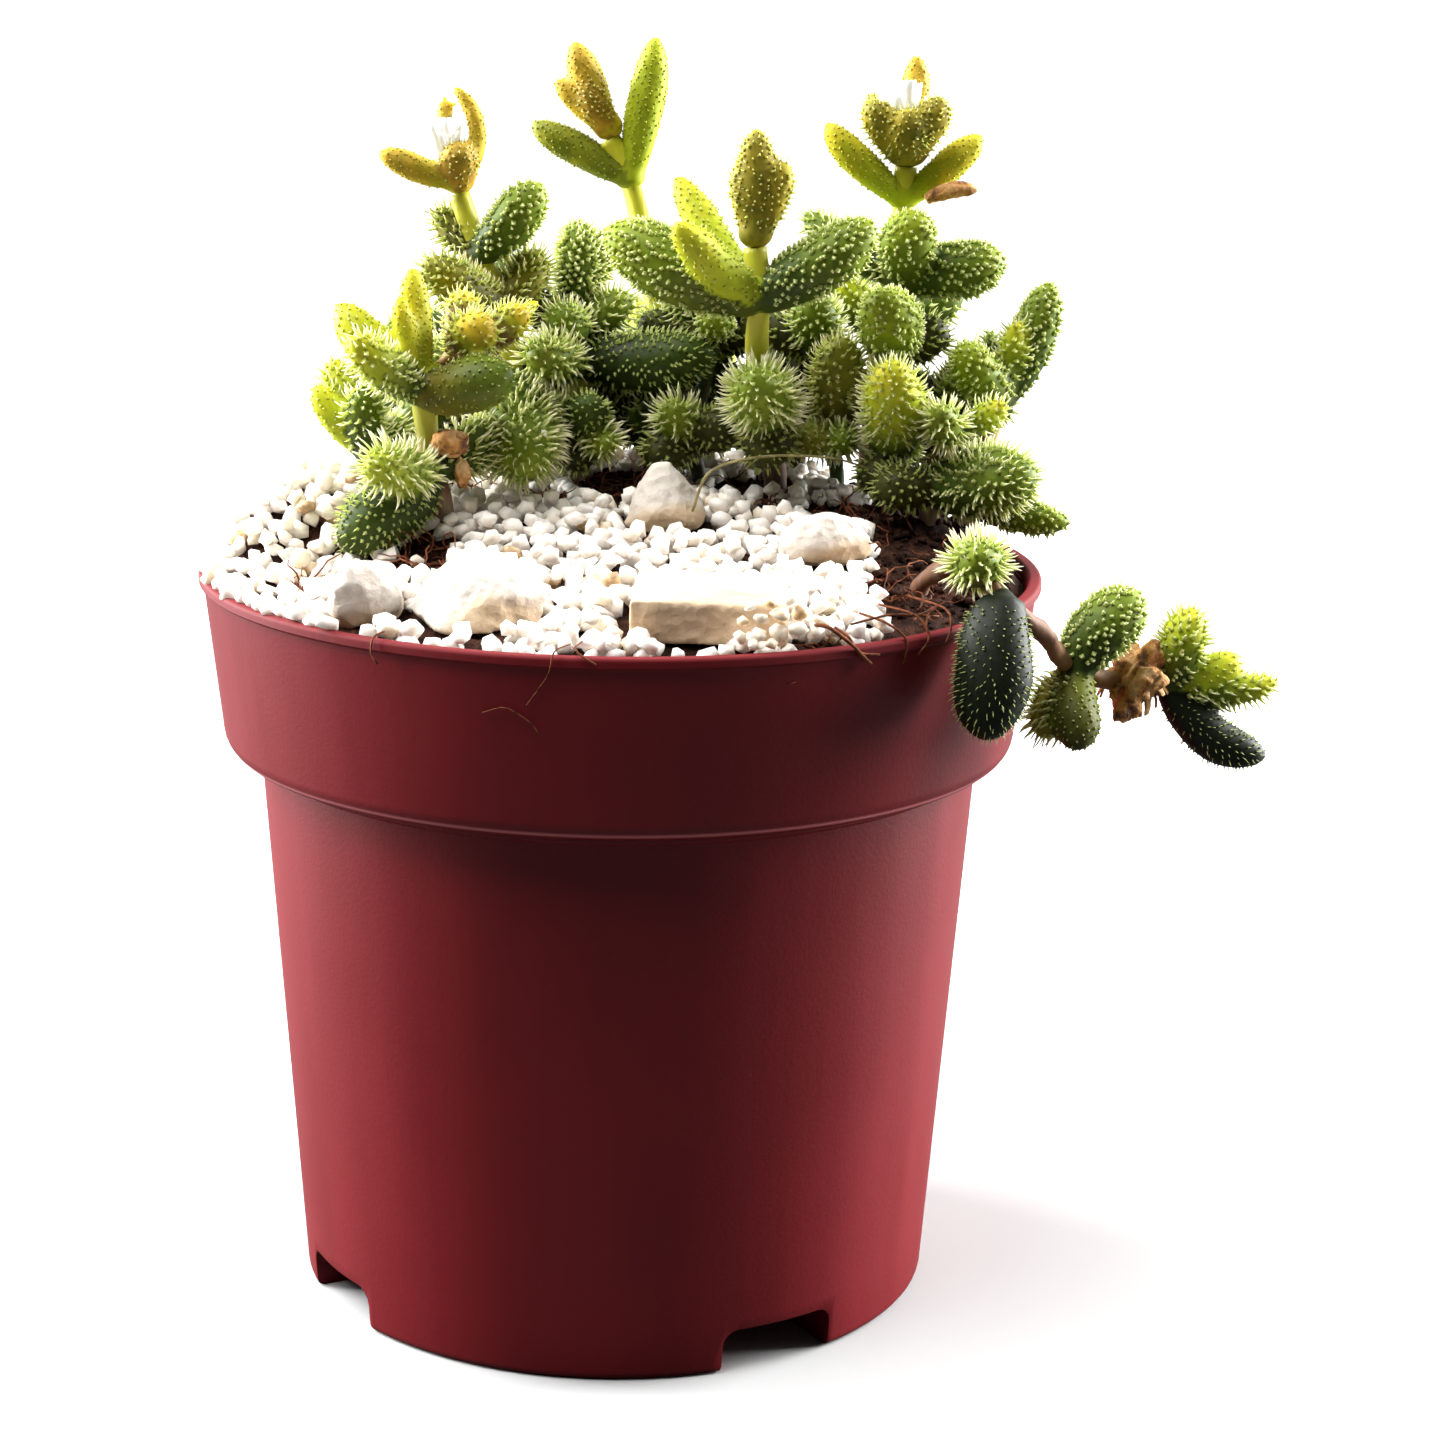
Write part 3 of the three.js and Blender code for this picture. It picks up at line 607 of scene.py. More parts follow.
def pot_outline():
    """(radius, height, corner radius) from the middle of the base, over the rim, to the floor inside."""
    taper = BODY_TOP_RADIUS - BASE_RADIUS
    wall = [(BASE_RADIUS + taper * k, COLLAR_FOOT_HEIGHT * k, 0) for k in WALL_RINGS]
    return [
        (0, 0, 0),
        (BASE_RADIUS, 0, 0.9 * MM),
        *wall,
        (BODY_TOP_RADIUS - 0.05 * MM, COLLAR_FOOT_HEIGHT - 0.8 * MM, 0),
        (BODY_TOP_RADIUS + STEP_LINE_PROUD, COLLAR_FOOT_HEIGHT - 0.45 * MM, 0.2 * MM),
        (BODY_TOP_RADIUS + STEP_LINE_PROUD, COLLAR_FOOT_HEIGHT, 0.15 * MM),
        (COLLAR_FOOT_RADIUS - 0.05 * MM, COLLAR_FOOT_HEIGHT + 0.5 * MM, 2.2 * MM),
        (RIM_RADIUS - LIP_PROUD, POT_HEIGHT - LIP_HEIGHT, 0.15 * MM),
        (RIM_RADIUS, POT_HEIGHT - LIP_HEIGHT + 0.25 * MM, 0.15 * MM),
        (RIM_RADIUS, POT_HEIGHT, 0.35 * MM),
        (RIM_RADIUS - WALL, POT_HEIGHT, 0.35 * MM),
        (COLLAR_FOOT_RADIUS - WALL, COLLAR_FOOT_HEIGHT + WALL, 0.6 * MM),
        (BODY_TOP_RADIUS - WALL, COLLAR_FOOT_HEIGHT + WALL, 0.6 * MM),
        (BASE_RADIUS - WALL, FLOOR_THICKNESS, 0.8 * MM),
        (0, FLOOR_THICKNESS, 0),
    ]


def recess_cutter(angle, grow):
    """A block with rounded upper corners that lies along a radius of the pot."""
    inner = RECESS_INNER_RADIUS - grow
    height = RECESS_HEIGHT + grow
    middle = ((inner + RIM_RADIUS) / 2, 0, (height - CUT_BELOW) / 2)
    bpy.ops.mesh.primitive_cube_add(size=1, location=middle)
    block = bpy.context.object
    block.scale = (RIM_RADIUS - inner, RECESS_WIDTH + 2 * grow, height + CUT_BELOW)
    bpy.ops.object.transform_apply(location=True, rotation=False, scale=True)
    bevel = bmesh.new()
    bevel.from_mesh(block.data)
    top = max(v.co.z for v in bevel.verts)
    edges = [
        e for e in bevel.edges
        if all(abs(v.co.z - top) < 1e-6 for v in e.verts)
        and abs(e.verts[0].co.x - e.verts[1].co.x) > 1e-4
    ]
    bmesh.ops.bevel(bevel, geom=edges, offset=RECESS_CORNER, segments=4, affect="EDGES", profile=0.5)
    bevel.to_mesh(block.data)
    bevel.free()
    block.rotation_euler = (0, 0, math.radians(angle - 90))
    bpy.ops.object.transform_apply(location=False, rotation=True, scale=False)
    return block


def drain_cutter(angle):
    bpy.ops.mesh.primitive_cylinder_add(vertices=24, radius=DRAIN_HOLE_RADIUS, depth=20 * MM)
    hole = bpy.context.object
    turn = math.radians(angle - 90)
    hole.location = (DRAIN_HOLE_PLACE * math.cos(turn), DRAIN_HOLE_PLACE * math.sin(turn), 5 * MM)
    bpy.ops.object.transform_apply()
    return hole


def cut(piece, cutter, operation="DIFFERENCE"):
    apply_modifier(piece, "cut", "BOOLEAN", object=cutter, operation=operation, solver="EXACT")
    bpy.data.objects.remove(cutter)


def make_pot(finish):
    pot = turned("pot_shell", rounded(pot_outline()), POT_STEPS, finish)
    lid_outline = [
        (0, LID_FOOT),
        (BASE_RADIUS - 0.6 * MM, LID_FOOT),
        (BASE_RADIUS - 0.2 * MM, LID_TOP),
        (0, LID_TOP),
    ]
    for angle in RECESS_ANGLES:
        housing = recess_cutter(angle, WALL)
        cut(housing, turned("lid", lid_outline, POT_STEPS, finish), "INTERSECT")
        cut(pot, housing, "UNION")
    for angle in RECESS_ANGLES:
        cut(pot, recess_cutter(angle, 0))
        cut(pot, drain_cutter(angle))
    limit = {"limit_method": "ANGLE", "angle_limit": math.radians(50)}
    apply_modifier(pot, "soften", "BEVEL", width=0.2 * MM, segments=2, **limit)
    only(pot)
    bpy.ops.object.shade_smooth_by_angle(angle=math.radians(35))
    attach(pot, "root")
    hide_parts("pot")


# Soil and grit

MOUND_EDGE_HEIGHT = 74.2
MOUND_RISE_FRONT = 2
MOUND_RISE_BACK = 7
MOUND_SLOPE = (-28, 10)
MOUND_ROUNDNESS = 8
GRIT_THICKNESS = 1.5
INNER_RIM = 41.2
HOLLOW = (-27, -9, 2.8, 7)
HEAP = (-36, 4, 3.4, 12)
HEAP_ROUNDNESS = 16
SOIL_GAP = 0.3 * MM
SOIL_FOOT = RECESS_HEIGHT + WALL + SOIL_GAP
CRUST_RINGS = 56
CRUST_STEPS = 150
CRUST_START = 100 * MM


def eased(t):
    """A share from 0 to 1 that starts and ends softly."""
    return t * t * (3 - 2 * t)


def swell_at(x, y, spot):
    """The height that a bump or a hollow (x, y, height, reach) adds or takes at a point, in mm."""
    away = math.hypot(x - spot[0], y - spot[1]) / spot[3]
    return spot[2] * math.exp(-away * away)


def mound_height(x, y):
    """Top of the mound over a point of the pot's plan, in mm."""
    t = eased(min(max((y - MOUND_SLOPE[0]) / (MOUND_SLOPE[1] - MOUND_SLOPE[0]), 0), 1))
    rise = MOUND_RISE_FRONT + (MOUND_RISE_BACK - MOUND_RISE_FRONT) * t
    reach = min(math.hypot(x, y) / INNER_RIM, 1)
    heaped = swell_at(x, y, HEAP) * (1 - reach**HEAP_ROUNDNESS)
    return MOUND_EDGE_HEIGHT + rise * (1 - reach**MOUND_ROUNDNESS) + heaped - swell_at(x, y, HOLLOW)


def soil_height(x, y):
    """Top of the soil under the grit, in mm, without its clods."""
    return mound_height(x, y) - GRIT_THICKNESS


def clods(x, y):
    """How far the soil's surface stands off its smooth shape, in mm."""
    here = Vector((x, y, 0))
    rough = noise.fractal(here * 0.22, 0.7, 2.2, 5)
    fine = noise.turbulence(here * 1.3, 3, True)
    return 0.7 * rough + 0.5 * (fine - 0.5)


def make_soil(finish):
    """The soil's visible crust and its body down to the pot's floor."""
    widest = (INNER_RIM - 0.3) * MM
    rings = [INNER_RIM * MM * k / CRUST_RINGS for k in range(CRUST_RINGS, -1, -1)]
    step = COLLAR_FOOT_HEIGHT + WALL + SOIL_GAP
    side = [
        (0, SOIL_FOOT),
        (BASE_RADIUS - WALL - SOIL_GAP, SOIL_FOOT),
        (BODY_TOP_RADIUS - WALL - SOIL_GAP, step),
        (COLLAR_FOOT_RADIUS - WALL - SOIL_GAP, step),
    ]
    crust = [(min(r, widest), CRUST_START) for r in rings]
    soil = turned("soil_body", side + crust, CRUST_STEPS, finish)
    for vertex in soil.data.vertices:
        if vertex.co.z > POT_HEIGHT:
            x, y = vertex.co.x / MM, vertex.co.y / MM
            edge = min(1, (INNER_RIM - math.hypot(x, y)) / 2)
            vertex.co.z = (soil_height(x, y) + clods(x, y) * edge) * MM
    set_smooth(soil.data)
    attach(soil, "root")
    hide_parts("soil")


# Patches of bare soil between the granules: (x, y, radius) in mm.
BARE_PATCHES = [
    (-19, -8, 4), (-19, -14, 4), (-29.5, -17, 2.5), (-13.5, -20.5, 2.2), (-2, 10, 5), (4, 7, 4),
    (-8, 7, 4), (23, 2, 5), (34, 5, 11), (34, -10, 11), (36, -24, 9), (30, 20, 12), (27, -18, 4.5),
    (17, -35, 2.5), (-16, 8, 3.5), (0, 17, 9), (14, 14, 8), (-14, 19, 6), (15, 3, 3),
]
# Ground that the stones keep free of granules: (x, y, half length, half depth) in mm.
STONE_SPOTS = [
    (-23.8, -26.8, 4.6, 4.4), (-13.4, -29.2, 7.4, 5.6), (5, -29.6, 6.6, 8.6), (20, -9.8, 4.6, 4.2),
    (4.6, -1.9, 5, 4.2),
]
# Granules heaped against the front of the slab: (x, y, z, radius) in mm.
SLAB_PILE = [
    (10.8, -38.4, 75.9, 0.9), (12.4, -38.2, 76.1, 1.0), (14.2, -38, 76.2, 1.2), (16, -37.4, 76.3, 1.2),
    (17.8, -36.4, 76.2, 1.1), (11, -38.2, 77.3, 0.8), (12.6, -38.4, 77.6, 0.9), (14.3, -38, 77.9, 1.1),
    (16.1, -37.2, 77.9, 1.0), (11.6, -37.8, 78.6, 0.7), (13.4, -37.8, 78.9, 0.8),
    (15.3, -37.2, 79.1, 0.9), (18, -34.8, 76.6, 1.2), (11.8, -39.2, 75.4, 0.8), (13.6, -39, 75.4, 0.8),
]
GRIT_TRIES = 45000
GRIT_RIGHT_EDGE = 24.5
SPILL_EDGE = -27
LEAST_RADIUS = 1.05
RADIUS_RANGE = 0.75
CELL = 3.2
# How granules meet, as shares of their radii: the distance at which two crowd each other, how far
# one on top rises, how deep one sits in the mound, and how high one lies on the lip. Then the chance
# that one lies on top, and how far in mm its middle may stand over the mound.
CROWDED = 0.58
STACKED_RISE = 0.42
SUNK = 0.55
LIP_RISE = 0.4
STACK_CHANCE = 0.08
STACK_LIMIT = 1.0
CRUMB_COUNT = 1500


def granule_shapes(count=8):
    """Crushed granules: the hulls of a few points on a squashed ball."""
    shapes = []
    for _ in range(count):
        points = rng.normal(size=(17, 3))
        points /= np.linalg.norm(points, axis=1)[:, None]
        points *= (1, 0.86, 0.72) * (0.85 + 0.25 * rng.random((17, 1)))
        shape = bmesh.new()
        for point in points:
            shape.verts.new(point)
        hull = bmesh.ops.convex_hull(shape, input=shape.verts)
        bmesh.ops.delete(shape, geom=hull["geom_interior"], context="VERTS")
        bmesh.ops.recalc_face_normals(shape, faces=shape.faces)
        shape.verts.index_update()
        verts = np.array([tuple(v.co) for v in shape.verts])
        shapes.append((verts, [tuple(v.index for v in face.verts) for face in shape.faces]))
        shape.free()
    return shapes


def random_turns(count):
    """Rotation matrices, evenly spread."""
    q = rng.normal(size=(count, 4))
    q /= np.linalg.norm(q, axis=1)[:, None]
    w, x, y, z = q.T
    return np.stack([
        np.stack([1 - 2 * (y * y + z * z), 2 * (x * y - z * w), 2 * (x * z + y * w)], 1),
        np.stack([2 * (x * y + z * w), 1 - 2 * (x * x + z * z), 2 * (y * z - x * w)], 1),
        np.stack([2 * (x * z - y * w), 2 * (y * z + x * w), 1 - 2 * (x * x + y * y)], 1),
    ], 1)


def place_in(patch):
    """A random place in a round patch of ground, in mm."""
    x, y, radius = patch
    reach, angle = radius * rng.random() ** 0.5, rng.random() * FULL_TURN
    return x + reach * math.cos(angle), y + reach * math.sin(angle)


def takes_grit(x, y, radius):
    """Whether a granule may lie at a point of the ground."""
    rim = INNER_RIM + 0.6 if x < SPILL_EDGE else INNER_RIM - 0.5 - radius * 0.75
    if math.hypot(x, y) > rim or x > GRIT_RIGHT_EDGE:
        return False
    if any(math.hypot((x - a) / length, (y - b) / depth) < 1 for a, b, length, depth in STONE_SPOTS):
        return False
    bare = max(1 - math.hypot(x - a, y - b) / r for a, b, r in BARE_PATCHES)
    return not (bare > 0 and rng.random() < 0.7 + 0.9 * bare)


def grit_places():
    """Centres and radii of granules, in mm, packed side by side with some on top and on the lip."""
    placed = []
    cells = {}
    for _ in range(GRIT_TRIES):
        x, y = (rng.random(2) * 2 - 1) * RIM_RADIUS / MM
        radius = LEAST_RADIUS + RADIUS_RANGE * rng.random()
        if not takes_grit(x, y, radius):
            continue
        column, row = int(x // CELL), int(y // CELL)
        near = [p for i in (-1, 0, 1) for j in (-1, 0, 1) for p in cells.get((column + i, row + j), [])]
        base = mound_height(x, y) - radius * SUNK
        if math.hypot(x, y) > INNER_RIM - radius:
            base = max(base, POT_HEIGHT / MM + radius * LIP_RISE)
        crowd = [p for p in near if math.hypot(x - p[0], y - p[1]) < (radius + p[3]) * CROWDED]
        if crowd:
            on_top = len(crowd) <= 3 and radius < 1.4 and rng.random() < STACK_CHANCE
            if not on_top:
                continue
            base = max(p[2] + (radius + p[3]) * STACKED_RISE for p in crowd)
            if base > mound_height(x, y) + STACK_LIMIT:
                continue
        cells.setdefault((column, row), []).append((x, y, base, radius))
        placed.append((x, y, base, radius))
    return placed


def make_grit(finish):
    shapes = granule_shapes()
    loose = grit_places()
    placed = loose + SLAB_PILE
    turns = random_turns(len(placed))
    parts, tint = [], []
    for index, (x, y, z, radius) in enumerate(placed):
        verts, faces = shapes[index % len(shapes)]
        parts.append(((verts @ turns[index].T) * (1, 1, 0.9) * radius + (x, y, z), faces))
        shade = rng.random() ** 1.6 if index < len(loose) else 0.84 + 0.15 * rng.random()
        tint.extend([shade] * len(verts))
    verts, faces = stacked(parts)
    grit = new_piece("grit_granules", verts, faces, finish, tint=tint)
    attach(grit, "root")
    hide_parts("grit")


def make_crumbs(finish):
    """Loose crumbs of soil on the bare ground."""
    shapes = granule_shapes(6)
    weights = np.array([r * r for _, _, r in BARE_PATCHES])
    picks = rng.choice(len(BARE_PATCHES), size=CRUMB_COUNT, p=weights / weights.sum())
    parts = []
    for index, pick in enumerate(picks):
        x, y = place_in(BARE_PATCHES[pick])
        if math.hypot(x, y) > INNER_RIM - 1.5:
            continue
        radius = 0.25 + 0.75 * rng.random() ** 2.5
        z = soil_height(x, y) + clods(x, y) + radius * 0.3
        verts, faces = shapes[index % len(shapes)]
        parts.append((verts @ random_turns(1)[0].T * radius * (1, 1, 0.8) + (x, y, z), faces))
    verts, faces = stacked(parts)
    crumbs = new_piece("soil_crumbs", verts, faces, finish)
    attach(crumbs, "root")


# Stones

# How far a stone is rounded off, how rough it is, and the direction of its tan side.
STONES = {
    "stone_rounded": (7, 1.2, (0, 0, -1)),
    "stone_large": (2, 1.1, (0.3, -0.35, -0.7)),
    "stone_slab": (3, 0.5, (0.1, -1.15, -0.35)),
    "stone_flat": (3, 0.9, (0.3, -0.4, -0.9)),
    "stone_back": (26, 0.9, (0.1, -0.2, -1.0)),
}
STONE_VOXEL = 0.35 * MM


def merged_copy(node):
    """A copy of a CAD node's mesh with its doubles merged."""
    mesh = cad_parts[node].data.copy()
    piece = add_object(node + "_face", mesh)
    turn_outwards(piece, merge=True)
    if "custom_normal" in mesh.attributes:
        mesh.attributes.remove(mesh.attributes["custom_normal"])
    return piece


def make_stone(node, finish, round_off, roughness, stain_side):
    stone = merged_copy(node)
    stone.data.materials.clear()
    stone.data.materials.append(finish)
    apply_modifier(stone, "remesh", "REMESH", mode="VOXEL", voxel_size=STONE_VOXEL)
    apply_modifier(stone, "smooth", "SMOOTH", factor=0.5, iterations=round_off)
    low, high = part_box(node)
    middle = (low + high) / 2
    seed = Vector((len(node), 3.3, 7.1))
    stain = []
    for vertex in stone.data.vertices:
        here = vertex.co / MM
        away = (vertex.co - middle).normalized()
        broad = noise.fractal(here * 0.18 + seed, 0.8, 2.1, 3)
        fine = noise.fractal(here * 0.9 + seed, 0.9, 2.1, 3)
        cleft = abs(noise.noise(here * 0.35 + seed * 2))
        vertex.co += away * (0.55 * broad + 0.16 * fine - 0.4 * max(0, 0.08 - cleft)) * roughness * MM
        # A share that is highest on the side the direction points to, mostly the lower side; the finish turns
        # it tan.
        stain.append(max(0, min(1, 0.5 + 0.8 * away.dot(Vector(stain_side)))))
    set_attribute(stone.data, "stain", stain)
    set_smooth(stone.data)
    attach(stone, "root")
    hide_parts(node)


def make_stones(finish):
    for node, shape in STONES.items():
        make_stone(node, finish, *shape)


# Leaves

# How a leaf looks: ripeness at its foot and tip (0 dark green to 1 yellow), dryness at foot and
# tip, bristle length in mm, bead radius in mm, the spacing of the beads in mm, and how pale the
# beads and bristles are.
Look = namedtuple("Look", "ripeness dryness bristle bead spacing paleness")
LOOKS = {
    "old": Look((0.20, 0.46), (0, 0), 1.1, 0.28, 0.86, 0.95),
    "dark": Look((0.06, 0.24), (0, 0), 0.65, 0.23, 0.9, 0.62),
    "dusky": Look((0.26, 0.40), (0.25, 0.0), 0.25, 0.17, 0.95, 0.24),
    "dull": Look((0.44, 0.20), (0.15, 0.08), 0.12, 0.18, 0.85, 0.42),
    # Painted shade: the shade look gives nearly black skin and dim bristles to leaves deep inside the plant,
    # where shade falls.
    "shade": Look((0.02, 0.12), (0.06, 0.06), 0.8, 0.27, 0.95, 0.52),
    "burst": Look((0.24, 0.50), (0, 0.04), 1.45, 0.30, 0.98, 1.0),
    "pale_burst": Look((0.38, 0.62), (0, 0.05), 1.7, 0.30, 0.92, 1.0),
    "snowy": Look((0.26, 0.52), (0, 0), 1.5, 0.30, 0.92, 1.0),
    "frosted": Look((0.24, 0.50), (0, 0), 0.7, 0.33, 0.74, 1.0),
    "beaded": Look((0.26, 0.60), (0.05, 0), 0.35, 0.29, 0.84, 0.85),
    "tawny": Look((0.22, 0.48), (0.2, 0.25), 1.1, 0.28, 0.86, 0.8),
    "studded": Look((0.20, 0.56), (0, 0), 0.34, 0.29, 0.86, 0.9),
    "lime": Look((0.64, 0.84), (0, 0), 0.3, 0.17, 0.9, 0.45),
    "lime_top": Look((0.24, 0.84), (0, 0.05), 1.0, 0.28, 0.86, 0.9),
    "young": Look((0.74, 0.90), (0, 0), 0.08, 0.15, 0.8, 0.3),
    "gold": Look((-1.3, 1.1), (0.75, 0.2), 0.8, 0.24, 0.86, 0.62),
    "green_leaf": Look((0.66, 0.72), (0, 0.04), 0.06, 0.14, 0.74, 0.3),
    "olive": Look((0.48, 0.56), (0.12, 0.2), 0.08, 0.15, 0.8, 0.3),
    "orange": Look((0.85, 1.0), (0.45, 0.6), 0.04, 0.14, 0.75, 0.2),
    "bud": Look((0.54, 0.60), (0.45, 0.5), 0.45, 0.18, 0.72, 0.36),
    # Painted shade in part: the hanging look is the leaves' own dark green, darkened to nearly black for the
    # shade under the shoots above.
    "hanging": Look((-0.3, 0.0), (0.0, 0.0), 0.55, 0.12, 0.8, 0.34),
    "rusty": Look((0.85, 0.95), (0.95, 0.75), 0.35, 0.17, 0.7, 0.5),
    "back": Look((0.10, 0.40), (0, 0), 1.1, 0.33, 1.4, 0.9),
}
